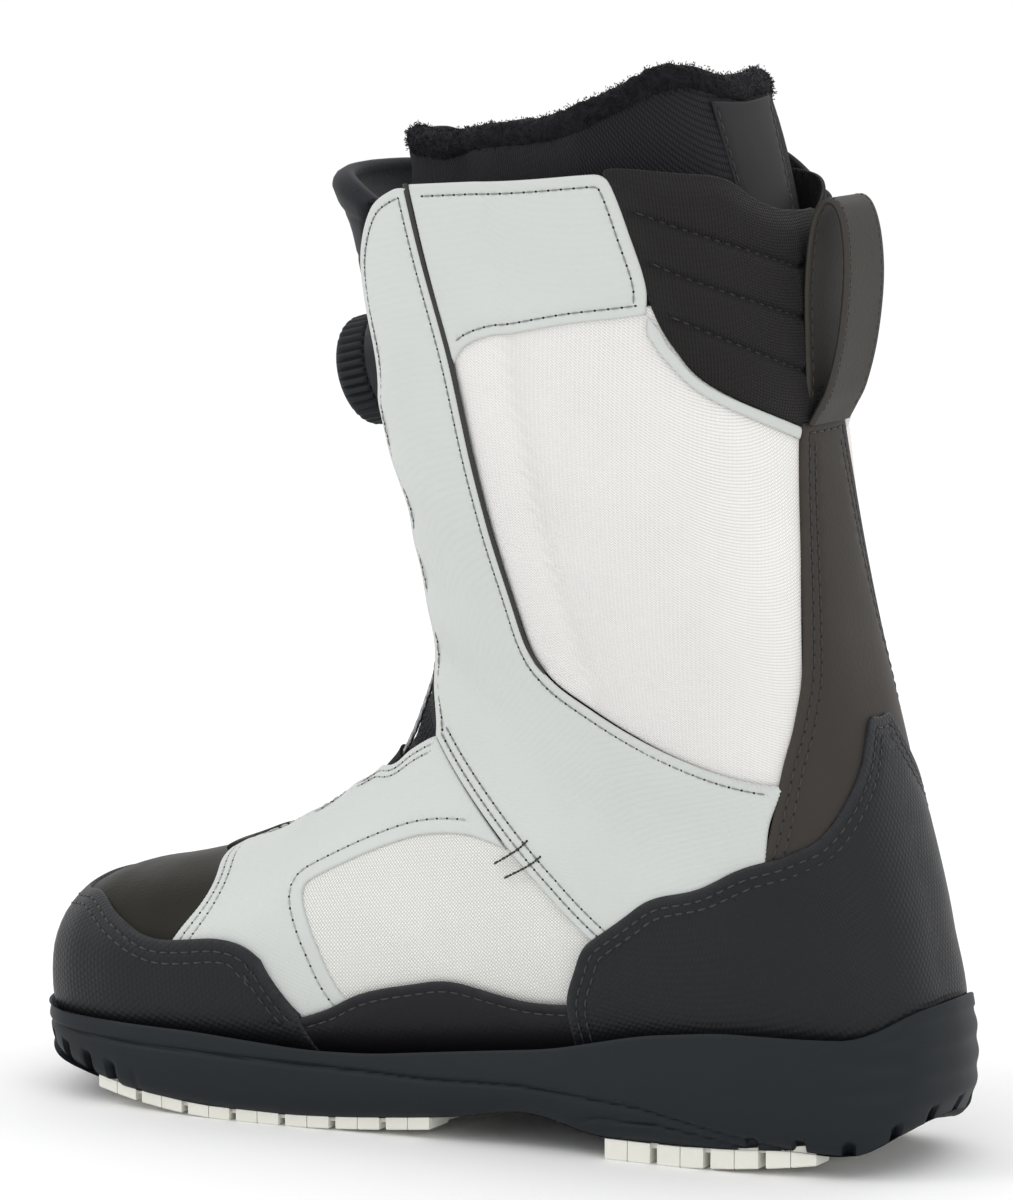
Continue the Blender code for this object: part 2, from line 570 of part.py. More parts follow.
def make_sole():
    """Make the cup sole around the lasted upper."""
    ring = sole_outline()
    rings = []
    for back, bottom, lift in ((0.016, True, 0.0), (0.0035, True, 0.0), (0.0010, True, 0.0030),
                               (0.0, True, 0.0090), (0.0004, False, -0.0080), (0.0016, False, -0.0010),
                               (0.0024, False, 0.0), (0.016, False, 0.0)):
        plan = inset(ring, back)
        rows = SOLE_BOTTOM if bottom else SOLE_TOP
        rings.append([(x, y, table(rows, x0) + lift) for (x, y), x0 in zip(plan, ring[:, 0])])
    sole = ring_mesh("sole_cup", rings)
    across = np.abs((np.arange(V_CELLS) * V_STEP + 1.0) % 2.0 - 1.0)
    floor = ((across > FLOOR_FROM_A)[None, :] & (GRID_U < FLOOR_TO_U)[:, None])[:, :, None]
    base = np.where(floor, grid_points(FLOOR_CLEARANCE), grid_points(CUP_CLEARANCE))
    points, faces = [tuple(base[0, 0])], []
    for i in range(1, CUTTER_ROWS):
        points += [tuple(p) for p in base[i]]
    for j in range(V_CELLS):
        k = (j + 1) % V_CELLS
        faces.append([0, 1 + j, 1 + k])
        for i in range(1, CUTTER_ROWS - 1):
            a = 1 + (i - 1) * V_CELLS
            b = a + V_CELLS
            faces.append([a + j, b + j, a + k])
            faces.append([b + j, b + k, a + k])
    top = 1 + (CUTTER_ROWS - 2) * V_CELLS
    faces.append([top + j for j in range(V_CELLS)])
    cutter = make_object("sole_cutter", points, faces)
    ALL.remove(cutter)
    cut_with(sole, cutter)
    return sole


def cut_with(obj, cutter):
    """Subtract a cutter and keep the plain result."""
    modifier = obj.modifiers.new("cut", "BOOLEAN")
    modifier.operation = "DIFFERENCE"
    modifier.solver = "EXACT"
    modifier.object = cutter
    graph = bpy.context.evaluated_depsgraph_get()
    mesh = bpy.data.meshes.new_from_object(obj.evaluated_get(graph))
    obj.modifiers.clear()
    old = obj.data
    mesh.name = old.name
    obj.data = mesh
    bpy.data.meshes.remove(old)
    bpy.data.objects.remove(cutter, do_unlink=True)
    bm = bmesh.new()
    bm.from_mesh(mesh)
    bmesh.ops.remove_doubles(bm, verts=bm.verts[:], dist=0.00005)
    bmesh.ops.dissolve_degenerate(bm, dist=0.00005, edges=bm.edges[:])
    bmesh.ops.triangulate(bm, faces=bm.faces[:])
    bm.to_mesh(mesh)
    bm.free()
    mesh.polygons.foreach_set("use_smooth", [True] * len(mesh.polygons))
    mesh.set_sharp_from_angle(angle=math.radians(40.0))


def make_tread(name, x_from, x_to, height, edge, block, notch):
    """Make one tread pad with notched edge blocks."""
    outer = inset(sole_outline(240), edge)
    keep = (outer[:, 0] > x_from) & (outer[:, 0] < x_to)
    lateral = outer[keep & (outer[:, 1] > 0)]
    medial = outer[keep & (outer[:, 1] <= 0)]
    lateral = lateral[np.argsort(lateral[:, 0])]
    medial = medial[np.argsort(-medial[:, 0])]
    points = []
    for run, side in ((lateral, 1.0), (medial, -1.0)):
        steps = np.concatenate([[0], np.cumsum(np.linalg.norm(np.diff(run, axis=0), axis=1))])
        blocks = max(1, int(round(steps[-1] / block)))
        pitch = steps[-1] / blocks
        for n in range(blocks):
            corners = [(0.02, 0.0), (0.50, 0.0), (0.86, 0.0), (0.865, notch), (0.995, notch)]
            if n == blocks - 1:
                corners = [(0.02, 0.0), (0.50, 0.0), (1.0, 0.0)]
            for at, depth in corners:
                x = float(np.interp((n + at) * pitch, steps, run[:, 0]))
                y = float(np.interp((n + at) * pitch, steps, run[:, 1]))
                points.append((x, y - side * depth))
    rings = [[(x, y, z) for x, y in points] for z in (0.0, height)]
    return ring_mesh(name, rings)


# ---- closure ---------------------------------------------------------------------


def smooth_place(u, v, lift):
    """Place one point above the smooth boot form."""
    p = form_point(np.array([u]), np.array([v]))[0]
    n = form_normal(np.array([u]), np.array([v if abs(v) > 1e-6 else 1e-6]))[0]
    return p + lift * n


def dial_matrix():
    """Return the frame of the closure dial, Z pointing out of the tongue."""
    centre = smooth_place(DIAL_U, 0.0, 0.0)
    out = form_normal(np.array([DIAL_U]), np.array([1e-6]))[0]
    z = Vector((out[0], 0.0, out[2])).normalized()
    y = Vector((0.0, 1.0, 0.0))
    x = y.cross(z).normalized()
    m = Matrix((x, y, z)).transposed().to_4x4()
    m.translation = Vector(centre)
    return m


def make_dial():
    """Make the closure dial: base, spool, drive, screw, knob and cap."""
    m = dial_matrix()
    rings = []
    for r, z, saddle in ((6.0, DIAL_LIFT / MM, 1), (16.0, DIAL_LIFT / MM, 1), (18.0, 0.8, 1),
                         (18.2, 2.2, 0.3), (17.4, 3.6, 0), (14.0, 3.9, 0), (13.4, 3.5, 0),
                         (13.4, 1.5, 0), (4.0, 1.5, 0)):
        ring = []
        for i in range(32):
            angle = 2 * math.pi * i / 32
            x, y = r * MM * math.cos(angle), r * MM * math.sin(angle)
            ring.append((x, y, z * MM - saddle * y * y / 0.110))
        rings.append(ring)
    ring_mesh("dial_base", rings, matrix=m)
    scale = [(r * MM, z * MM) for r, z in ((2.1, 1.9), (10.6, 1.9), (10.6, 2.5), (7.0, 2.9),
                                           (7.0, 3.7), (10.6, 4.1), (10.6, 4.7), (2.1, 4.7))]
    turned("dial_spool", scale, m, closed=True, segments=24)
    drive = [(r * MM, z * MM) for r, z in ((2.1, 5.1), (12.4, 5.1), (12.4, 8.0), (5.5, 8.2),
                                           (5.5, 11.4), (2.1, 11.4))]
    turned("dial_drive", drive, m, closed=True, teeth=16, depth=0.0012, toothed=(1, 2))
    screw = [(r * MM, z * MM) for r, z in ((1.6, 1.9), (1.6, 11.8), (3.4, 11.8), (3.4, 12.6),
                                           (2.4, 12.9))]
    turned("dial_screw", screw, m, segments=16)
    knob = [(r * MM, z * MM) for r, z in ((14.4, 4.3), (16.4, 4.3), (17.0, 5.2), (17.0, 13.2),
                                          (15.6, 14.9), (12.6, 15.4), (11.7, 15.1), (11.7, 14.2),
                                          (3.0, 14.2))]
    knob += [(r * MM, z * MM) for r, z in ((3.0, 13.3), (14.4, 13.3))]
    turned("dial_knob", knob, m, closed=True, teeth=20, depth=0.0009, toothed=(2, 3))
    cap = [(r * MM, z * MM) for r, z in ((11.3, 14.6), (11.3, 15.3), (7.0, 15.9), (2.0, 16.1))]
    turned("dial_cap", cap, m, segments=24)


def smooth_path(points, count):
    """Read evenly spaced points from a smooth curve through the given ones."""
    dense = bend(points, 12)
    along = np.concatenate([[0], np.cumsum(np.linalg.norm(np.diff(dense, axis=0), axis=1))])
    want = np.linspace(0, along[-1], count)
    return np.stack([np.interp(want, along, dense[:, k]) for k in range(dense.shape[1])], 1)


def make_lace():
    """Make the lace cable from one side of the dial round the guides to the other."""
    down = [(0.695, -0.070, 1.8), (0.678, -0.112, 1.9), (0.664, -0.144, 2.2), (0.650, -0.152, 2.2),
            (0.634, -0.134, 2.3), (0.604, 0.0, 3.0), (0.572, 0.130, 2.2), (0.559, 0.142, 2.2),
            (0.546, 0.128, 2.3), (0.500, 0.040, 3.0), (0.440, -0.045, 4.2), (0.365, -0.170, 5.9),
            (0.345, -0.200, 6.0), (0.330, -0.206, 6.0), (0.315, -0.192, 6.0), (0.272, -0.020, 5.8),
            (0.243, 0.088, 6.0), (0.226, 0.112, 6.0), (0.208, 0.092, 6.0), (0.192, 0.030, 6.0),
            (0.189, 0.0, 6.0)]
    back = [(u, -v, h + (2.2 if abs(v) < 0.05 else 0.0)) for u, v, h in reversed(down[:-2])]
    back = [(down[-2][0], -down[-2][1], down[-2][2])] + back
    route = [smooth_place(u, v, h * MM) for u, v, h in down + back]
    points = smooth_path(route, 80)
    curve = bpy.data.curves.new("lace_cable", "CURVE")
    curve.dimensions = "3D"
    curve.bevel_depth = LACE_RADIUS
    curve.bevel_resolution = 2
    curve.use_fill_caps = True
    spline = curve.splines.new("POLY")
    spline.points.add(len(points) - 1)
    for target, p in zip(spline.points, points):
        target.co = (p[0], p[1], p[2], 1.0)
    obj = bpy.data.objects.new("lace_cable", curve)
    bpy.context.collection.objects.link(obj)
    ALL.append(obj)


def make_guides():
    """Make the lace guides on the tongue and on the vamp."""
    on_tongue = (grid_points(0.0), grid_points(0.0012))
    on_vamp = (grid_points(0.0034), grid_points(0.0046))
    spots = (("guide_top", 0.640, 0.662, 0.118, 0.165, on_tongue),
             ("guide_ankle", 0.549, 0.568, 0.112, 0.156, on_tongue),
             ("guide_vamp", 0.316, 0.345, 0.175, 0.225, on_vamp),
             ("guide_fore", 0.206, 0.230, 0.070, 0.120, on_vamp))
    for name, u0, u1, a0, a1, (low, high) in spots:
        for tag, side in (("medial", -1), ("lateral", 1)):
            corners = on_side([(u0, a0), (u0, a1), (u1, a1), (u1, a0)], side)
            shell_mesh(f"{name}_{tag}", corners, high, low)


def make_loop():
    """Make the pull loop, a folded strap that swings on its sewn end."""
    line = np.array([(0.0, 0.0), (-0.0026, 0.0100), (-0.0036, 0.0230), (-0.0038, 0.0400),
                     (-0.0024, 0.0560), (0.0010, 0.0632), (0.0052, 0.0622), (0.0080, 0.0540),
                     (0.0088, 0.0400), (0.0070, 0.0230), (0.0038, 0.0095), (0.0, 0.0)])
    path = smooth_path(line, 25)
    middle = (path.min(axis=0) + path.max(axis=0)) / 2
    ahead = path[2:] - path[:-2]
    side = np.stack([ahead[:, 1], -ahead[:, 0]], 1)
    side /= np.linalg.norm(side, axis=1, keepdims=True)
    side *= np.sign(np.sum(side * (path[1:-1] - middle), axis=1, keepdims=True))
    outer = path[1:-1] + side * LOOP_THICKNESS / 2
    inner = path[2:-2] - side[1:-1] * LOOP_THICKNESS / 2
    outer = np.vstack([LOOP_FOOT[0], outer, LOOP_FOOT[1]])
    inner = np.vstack([LOOP_CROTCH[0], inner, LOOP_CROTCH[1]])
    loop = loop_prism(outer, inner, LOOP_WIDTH / 2)
    loop.location = Vector((LOOP_BASE[0], 0.0, LOOP_BASE[1]))


def loop_prism(outer, inner, half):
    """Join the outer and inner edge of a flat loop into a strap."""
    n, m = len(outer), len(inner)
    points = []
    for y in (-half, half):
        points += [(p[0], y, p[1]) for p in outer]
        points += [(p[0], y, p[1]) for p in inner]
    size = n + m
    faces = []
    for i in range(n):
        j = (i + 1) % n
        faces.append([i, j, j + size, i + size])
    for i in range(m):
        j = (i + 1) % m
        faces.append([n + i, n + j, n + j + size, n + i + size])
    bm = bmesh.new()
    for base in (0, size):
        verts_out = [bm.verts.new(points[base + i]) for i in range(n)]
        verts_in = [bm.verts.new(points[base + n + i]) for i in range(m)]
        edges = [bm.edges.new((verts_out[i], verts_out[(i + 1) % n])) for i in range(n)]
        edges += [bm.edges.new((verts_in[i], verts_in[(i + 1) % m])) for i in range(m)]
        bmesh.ops.triangle_fill(bm, use_beauty=True, edges=edges)
    bm.verts.index_update()
    caps = [[w.index for w in f.verts] for f in bm.faces]
    bm.free()
    return make_object("pull_loop", points, faces + caps)


# ---- assembly ----------------------------------------------------------------------


def make_upper():
    """Make the shell, its panels, the tongue and the liner."""
    shell_in, shell_out = grid_points(SHELL[0]), grid_points(SHELL[1])
    one_in, one_out = grid_points(LAYER_1[0]), grid_points(LAYER_1[1])
    two_in, two_out = grid_points(LAYER_2[0]), grid_points(LAYER_2[1])

    right = [(u, a) for a, u in reversed(FOOT_TOP)] + list(reversed(THROAT))
    left = [(u, -a) for u, a in reversed(right) if a > 0]
    shell_mesh("foot_shell", [(0.0, -1.0), (0.0, 1.0)] + right + left, shell_out, shell_in)
    shell_mesh("ankle_gusset", band(GUSSET_LOW, GUSSET_TOP), shell_out, shell_in)
    cuff = list(reversed(CUFF_TOP)) + list(reversed(CUFF_FRONT)) + [(u, a) for a, u in CUFF_LOW]
    shell_mesh("cuff_shell", round_back(cuff), shell_out, shell_in)

    shell_mesh("toe_cap", mirrored(outline_of(TOE_CAP)), two_out, two_in)
    shell_mesh("toe_box", mirrored(outline_of(TOE_BOX)), one_out, one_in)
    shell_mesh("heel_counter", round_back(outline_of(COUNTER)), two_out, two_in)
    shell_mesh("backstay", round_back(outline_of(BACKSTAY)), one_out, one_in)
    shell_mesh("collar", round_back(outline_of(COLLAR)), one_out, one_in)
    for tag, side in (("medial", -1), ("lateral", 1)):
        shell_mesh(f"rand_{tag}", on_side(outline_of(RAND), side), two_out, two_in)
        shell_mesh(f"vamp_{tag}", on_side(outline_of(VAMP), side), one_out, one_in)
        shell_mesh(f"vamp_window_{tag}", on_side(outline_of(VAMP_WINDOW), side), one_out, one_in)
        shell_mesh(f"quarter_{tag}", on_side(outline_of(QUARTER), side), one_out, one_in)
        shell_mesh(f"piping_{tag}", on_side(outline_of(PIPING), side), one_out, one_in)
        shell_mesh(f"cuff_window_{tag}", on_side(outline_of(WINDOW), side), one_out, one_in)
        shell_mesh(f"top_patch_{tag}", on_side(outline_of(TOP_PATCH), side), one_out, one_in)

    roll = np.clip((GRID_U - COLLAR_ROLL_START) / COLLAR_ROLL_RISE, 0.0, 1.0)[:, None, None]
    tongue_in = (1 - roll) * grid_points(TONGUE[0]) + roll * grid_points(TONGUE_ROLL)
    shell_mesh("tongue_upper", mirrored(outline_of(TONGUE_UPPER)), grid_points(TONGUE[1]), tongue_in)
    low_out, low_in = grid_points(LOWER_TONGUE[1]), grid_points(LOWER_TONGUE[0])
    shell_mesh("tongue_flex", mirrored(TONGUE_FLEX), low_out, low_in)
    shell_mesh("tongue_lower", mirrored(TONGUE_LOWER), low_out, low_in)
    board = [(0.062, 1.0), (0.062, 0.860), (0.120, 0.840), (0.430, 0.840), (0.452, 0.900), (0.458, 1.0)]
    shell_mesh("lasting_board", round_back(board), grid_points(BOARD[1]), grid_points(BOARD[0]))
    make_guides()

    liner_out, liner_in = grid_points(LINER[0], True), grid_points(LINER[1], True)
    foot_top = [(0.0, LINER_SPLIT[0][1])] + LINER_SPLIT
    ankle_low = [(a, u + 0.008) for a, u in foot_top]
    ankle_top = [(0.0, 0.522), (0.260, 0.522), (0.500, 0.520), (0.750, 0.577), (1.0, 0.622)]
    full_band("liner_foot", [(0.0, 0.0), (1.0, 0.0)], foot_top, liner_out, liner_in)
    full_band("liner_ankle", ankle_low, ankle_top, liner_out, liner_in)
    cuff_low = [(0.130, 0.530), (0.260, 0.530), (0.500, 0.528), (0.750, 0.585), (1.0, 0.630)]
    shell_mesh("liner_cuff", dipped(band(cuff_low, LINER_TOP)), liner_out, liner_in)
    rim_low = [(a, u + 0.0020) for a, u in LINER_TOP]
    shell_mesh("pile_rim", dipped(band(rim_low, RIM_TOP)), liner_out, liner_in)
    tongue = [(0.530, 0.0), (0.530, 0.122), (0.946, 0.122), (0.950, 0.0)]
    shell_mesh("liner_tongue", mirrored(tongue), liner_out, liner_in)
    label = [(0.948, 1.0), (0.948, 0.885), (0.915, 0.893), (0.885, 0.905), (0.876, 0.930), (0.874, 1.0)]
    shell_mesh("liner_label", round_back(label), grid_points(-0.0012, True), grid_points(-0.0004, True))
    bed = [(0.070, 1.0), (0.070, 0.870), (0.120, 0.850), (0.420, 0.850), (0.440, 0.900), (0.446, 1.0)]
    shell_mesh("footbed", round_back(bed), grid_points(0.0064, True), grid_points(0.0100, True))


def full_band(name, low, high, outer, inner):
    """Make a wall right round, closed at the front, between two edges (a, u)."""
    up = [(u, -a) for a, u in reversed(high) if a > 0] + [(u, a) for a, u in high]
    down = [(u, a) for a, u in reversed(low)] + [(u, -a) for a, u in low if a > 0]
    shell_mesh(name, up + down, outer, inner)


COLOURS = {
    "sole_cup": (0.030, 0.034, 0.038), "forefoot_tread": (0.75, 0.75, 0.68),
    "heel_tread": (0.75, 0.75, 0.68), "toe_box": (0.036, 0.035, 0.030),
    "backstay": (0.066, 0.058, 0.053), "pull_loop": (0.080, 0.074, 0.070),
    "foot_shell": (0.55, 0.56, 0.54), "ankle_gusset": (0.05, 0.05, 0.05),
    "cuff_shell": (0.10, 0.10, 0.10), "lasting_board": (0.45, 0.38, 0.28),
    "footbed": (0.15, 0.17, 0.20), "liner_label": (0.035, 0.035, 0.035),
    "dial_screw": (0.5, 0.5, 0.5), "lace_cable": (0.35, 0.35, 0.36),
}
PALE = (0.64, 0.68, 0.64)
WOVEN = (0.72, 0.73, 0.70)
DARK = (0.022, 0.022, 0.024)


def colour_of(name):
    """Choose the plain colour of a piece."""
    if name in COLOURS:
        return COLOURS[name]
    if name.startswith(("vamp_window", "cuff_window")):
        return WOVEN
    if name.startswith(("vamp", "quarter", "top_patch")):
        return PALE
    return DARK


def paint():
    """Give every piece a material of its own."""
    for obj in ALL:
        material = bpy.data.materials.new(obj.name)
        material.use_nodes = True
        shader = material.node_tree.nodes["Principled BSDF"]
        colour = colour_of(obj.name)
        shader.inputs["Base Color"].default_value = (*colour, 1.0)
        shader.inputs["Roughness"].default_value = 0.6
        material.diffuse_color = (*colour, 1.0)
        obj.data.materials.clear()
        obj.data.materials.append(material)


def main():
    """Build the whole boot."""
    for obj in list(bpy.data.objects):
        bpy.data.objects.remove(obj, do_unlink=True)
    make_sole()
    make_tread("forefoot_tread", -0.118, 0.000, SOLE_BOTTOM_FORE - TREAD_GAP, 0.0030, 0.0165, 0.0030)
    make_tread("heel_tread", 0.0560, 0.1475, SOLE_BOTTOM_HEEL - TREAD_GAP, 0.0045, 0.0165, 0.0030)
    make_upper()
    make_dial()
    make_lace()
    make_loop()
    paint()


main()
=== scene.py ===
"""Looks of a right snowboard boot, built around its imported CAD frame.

Metres, +Z up, toe towards -X, medial side towards -Y. Every soft panel lies
on one smooth boot form, read as (u, v): u runs from the toe to the top, and
v runs from 0 on the front line to 1 or -1 on the back line (v < 0 medial).
"""
import math

import bmesh
import bpy
import numpy as np
from mathutils import Matrix, Vector
from mathutils.geometry import delaunay_2d_cdt


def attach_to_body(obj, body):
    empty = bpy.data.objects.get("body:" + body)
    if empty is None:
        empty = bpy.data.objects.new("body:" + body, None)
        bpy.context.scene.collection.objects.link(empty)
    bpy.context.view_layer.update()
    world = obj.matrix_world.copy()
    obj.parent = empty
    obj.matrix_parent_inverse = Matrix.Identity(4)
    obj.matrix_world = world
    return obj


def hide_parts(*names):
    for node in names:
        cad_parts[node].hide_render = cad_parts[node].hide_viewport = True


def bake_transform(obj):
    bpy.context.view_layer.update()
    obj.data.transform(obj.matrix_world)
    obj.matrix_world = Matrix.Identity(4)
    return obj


MM = 0.001

# ---- driving dimensions --------------------------------------------------------

SOLE_LENGTH = 0.305
LINER_FRONT_SET = 0.0104
LINER_BACK_SET = 0.0040
LINER_TOP_SET = 0.0125
COLLAR_ROLL_START = 0.780
COLLAR_ROLL_RISE = 0.120
LATERAL_DIP = 0.022
LATERAL_DIP_END = 0.98
LATERAL_DIP_FADE = 0.35
COLLAR_DIP = 0.017
LINER_LEAN = 0.16
LINER_LEAN_START = 0.238
DIAL_U = 0.749
LACE_RADIUS = 0.0007
LACE_POINTS = 900
# Over the tongue the cable lies this much (mm) lower than on a bare form; on the vamp it runs
# under the leather's edge, closer to the middle by this share and at this height (mm).
TONGUE_SINK = 2.6
VAMP_CLOSE = 0.72
VAMP_HEIGHT = 0.5
LOOP_BASE = (0.1100, 0.2205)
LOOP_WIDTH = 0.025
LOOP_THICKNESS = 0.0020

# Depth of each layer's underside and top over the boot form.
LINING = (-0.0008, 0.0006)
FABRIC = (0.0008, 0.0018)
VAMP_LAYER = (0.0012, 0.0028)
PATCH_LAYER = (0.0012, 0.0030)
FLAP_LAYER = (0.0022, 0.0038)
STAY_LAYER = (0.0014, 0.0036)
GUARD_LAYER = (0.0016, 0.0050)

EDGE_ROLL = 0.8 * MM
EDGE_STEP = 1.3 * MM
EDGE_RINGS = (0.25, 0.6, 1.0)
SEAM_RINGS = (-0.55, 0.0, 0.55)
CHANNEL_RINGS = (-1.6, -0.7, 0.0, 0.7, 1.6)
STITCH_PITCH = 3.8 * MM
STITCH_LENGTH = 2.9 * MM
STITCH_RADIUS = 0.26 * MM
STITCH_SIDES = 6
STITCH_SWELL = (0.35, 0.85, 1.0, 0.85, 0.35)
HOLE_SIZE = 0.40 * MM
CHANNEL_DEPTH = 1.8 * MM
CHANNEL_WIDTH = 1.1 * MM
GROOVE_DEPTH = 0.30 * MM
GROOVE_WIDTH = 0.42 * MM
PIN_WIDTH = 1.2 * MM
GUIDE_LENGTH = 12.0 * MM
GUIDE_RADIUS = 1.4 * MM
GUIDE_WALL = 0.5 * MM
GUIDE_WIDTH = 2.4
RIM_HALF_WIDTH = 3.9
RIM_HALF_HEIGHT = 4.4
TUFT_COUNT = 16000
SOLE_RING = 960
SOLE_LEVELS = 34
RIM_LUG_PITCH = 16.5 * MM
INNER_LUG_PITCH = 13.0 * MM
PLATE_THICKNESS = 1.9 * MM
FOREFOOT_PAD = (-0.116, 0.000)
HEEL_PAD = (0.056, 0.125)

# The photo's view, in degrees, and the camera that fits it.
VIEW_AZIMUTH = 30.0
VIEW_ELEVATION = 8.0
VIEW_DISTANCE = 2.0
VIEW_LENS = 198.0
VIEW_AIM = (-0.0015, 0.0, 0.158)

# A point at the ankle; the lace cable is cut into its upper and lower pieces a little above its height.
ANKLE_END = (0.0571, 0.0, 0.1426)

# Boot form: front/top line (x, z), back/bottom line (x, z), half width,
# sideways shift, squareness of the front half and of the back half.
FORM = np.array([
    (-0.1408, 0.0350, -0.1408, 0.0350, 0.0000, -0.0060, 2.2, 2.4),
    (-0.1398, 0.0520, -0.1402, 0.0215, 0.0200, -0.0060, 2.3, 2.4),
    (-0.1368, 0.0585, -0.1376, 0.0175, 0.0315, -0.0055, 2.3, 2.6),
    (-0.1290, 0.0632, -0.1295, 0.0155, 0.0395, -0.0050, 2.3, 2.8),
    (-0.1160, 0.0672, -0.1145, 0.0145, 0.0455, -0.0040, 2.2, 3.0),
    (-0.0960, 0.0732, -0.0900, 0.0140, 0.0488, -0.0020, 2.1, 3.0),
    (-0.0740, 0.0820, -0.0600, 0.0140, 0.0495, 0.0000, 2.1, 3.0),
    (-0.0530, 0.0942, -0.0250, 0.0145, 0.0472, 0.0010, 2.0, 2.8),
    (-0.0340, 0.1105, 0.0200, 0.0165, 0.0445, 0.0010, 2.0, 2.6),
    (-0.0240, 0.1290, 0.0750, 0.0205, 0.0420, 0.0000, 2.0, 2.6),
    (-0.0220, 0.1430, 0.1220, 0.0225, 0.0400, 0.0000, 2.1, 2.7),
    (-0.0225, 0.1550, 0.1420, 0.0360, 0.0400, 0.0000, 2.1, 2.7),
    (-0.0240, 0.1690, 0.1390, 0.0650, 0.0410, 0.0000, 2.2, 2.6),
    (-0.0270, 0.1870, 0.1270, 0.1110, 0.0455, 0.0000, 2.2, 2.5),
    (-0.0320, 0.2080, 0.1140, 0.1580, 0.0505, 0.0000, 2.2, 2.4),
    (-0.0390, 0.2360, 0.1050, 0.2080, 0.0545, 0.0000, 2.2, 2.4),
    (-0.0460, 0.2660, 0.1010, 0.2510, 0.0565, 0.0000, 2.2, 2.4),
    (-0.0520, 0.2950, 0.0960, 0.2930, 0.0570, 0.0000, 2.2, 2.4),
    (-0.0570, 0.3280, 0.0900, 0.3380, 0.0570, 0.0000, 2.2, 2.4),
])

# Sole plan outline: x, medial y, lateral y.
SOLE_PLAN = [(-0.1500, -0.0270, 0.0160), (-0.1440, -0.0410, 0.0305), (-0.1340, -0.0512, 0.0415),
             (-0.1200, -0.0562, 0.0482), (-0.1000, -0.0584, 0.0532), (-0.0750, -0.0578, 0.0566),
             (-0.0500, -0.0556, 0.0566), (-0.0200, -0.0518, 0.0540), (0.0100, -0.0490, 0.0508),
             (0.0450, -0.0472, 0.0474), (0.0800, -0.0456, 0.0456), (0.1050, -0.0432, 0.0432),
             (0.1250, -0.0390, 0.0390), (0.1400, -0.0310, 0.0310), (0.1490, -0.0185, 0.0185)]
SOLE_TOE_Y = -0.0060
SOLE_TOP = [(-0.1525, 0.0270), (-0.0800, 0.0265), (-0.0400, 0.0240), (-0.0200, 0.0245),
            (0.0400, 0.0315), (0.0700, 0.0385), (0.0950, 0.0415), (0.1380, 0.0415),
            (0.1500, 0.0500), (0.1525, 0.0510)]
SOLE_BOTTOM = [(-0.1525, 0.0160), (-0.1400, 0.0125), (-0.1220, 0.0095), (-0.1080, 0.0070),
               (-0.0900, 0.0048), (-0.0700, 0.0036), (-0.0450, 0.0034), (-0.0250, 0.0044),
               (-0.0050, 0.0062), (0.0160, 0.0090), (0.0260, 0.0116), (0.0370, 0.0112),
               (0.0480, 0.0080), (0.0540, 0.0065), (0.0950, 0.0068), (0.1180, 0.0082),
               (0.1330, 0.0064), (0.1430, 0.0088), (0.1525, 0.0180)]

# ---- seams: runs of (u, a) control points, a = |v| ------------------------------------
# A run bends smoothly and starts where the run before it ends.

TOE_CAP = [[(0.050, 0.0), (0.052, 0.17), (0.075, 0.24), (0.105, 0.345), (0.135, 0.413),
            (0.185, 0.437), (0.210, 0.49), (0.228, 0.60)], [(0.228, 0.80), (0.200, 1.0)]]
TOE_BOX = [[(0.156, 0.0), (0.158, 0.10), (0.168, 0.25), (0.165, 0.32), (0.150, 0.40),
            (0.138, 0.47)], [(0.120, 0.50)], [(0.030, 0.50)], [(0.022, 0.0)]]
THROAT_TAB = [[(0.148, 0.0), (0.148, 0.085)], [(0.164, 0.080), (0.180, 0.070)], [(0.182, 0.0)]]
VAMP = [[(0.156, 0.105), (0.168, 0.062), (0.185, 0.048), (0.205, 0.055), (0.228, 0.078),
         (0.245, 0.072), (0.262, 0.070), (0.290, 0.098), (0.318, 0.128), (0.345, 0.176),
         (0.380, 0.200), (0.428, 0.236)], [(0.428, 0.432)],
        [(0.400, 0.390), (0.355, 0.352), (0.303, 0.334), (0.260, 0.338), (0.248, 0.360),
         (0.250, 0.440), (0.257, 0.550), (0.270, 0.660)], [(0.235, 0.660)],
        [(0.205, 0.580), (0.165, 0.500), (0.138, 0.470)],
        [(0.150, 0.400), (0.165, 0.320), (0.168, 0.250), (0.160, 0.160), (0.156, 0.105)]]
VAMP_WINDOW = [[(0.242, 0.360), (0.254, 0.325), (0.303, 0.320), (0.360, 0.340), (0.430, 0.420)],
               [(0.436, 0.545)], [(0.400, 0.660)], [(0.265, 0.670)],
               [(0.250, 0.550), (0.242, 0.360)]]
RAND = [[(0.222, 0.610), (0.245, 0.594), (0.273, 0.569), (0.308, 0.567), (0.335, 0.575),
         (0.370, 0.624), (0.400, 0.640)], [(0.400, 0.800)], [(0.222, 0.800)], [(0.222, 0.610)]]
QUARTER = [[(0.903, 0.405), (0.900, 0.375), (0.885, 0.325), (0.850, 0.275), (0.815, 0.260),
            (0.780, 0.256), (0.758, 0.242), (0.735, 0.212), (0.700, 0.200), (0.672, 0.214),
            (0.648, 0.218), (0.610, 0.196), (0.570, 0.188), (0.530, 0.186), (0.475, 0.190),
            (0.431, 0.240)], [(0.430, 0.320), (0.431, 0.430), (0.434, 0.510), (0.440, 0.570)],
           [(0.490, 0.600), (0.540, 0.670)], [(0.580, 0.705), (0.608, 0.756)],
           [(0.596, 0.620), (0.587, 0.500), (0.589, 0.452), (0.604, 0.433), (0.650, 0.430),
            (0.720, 0.429), (0.790, 0.428), (0.855, 0.410), (0.903, 0.399)]]
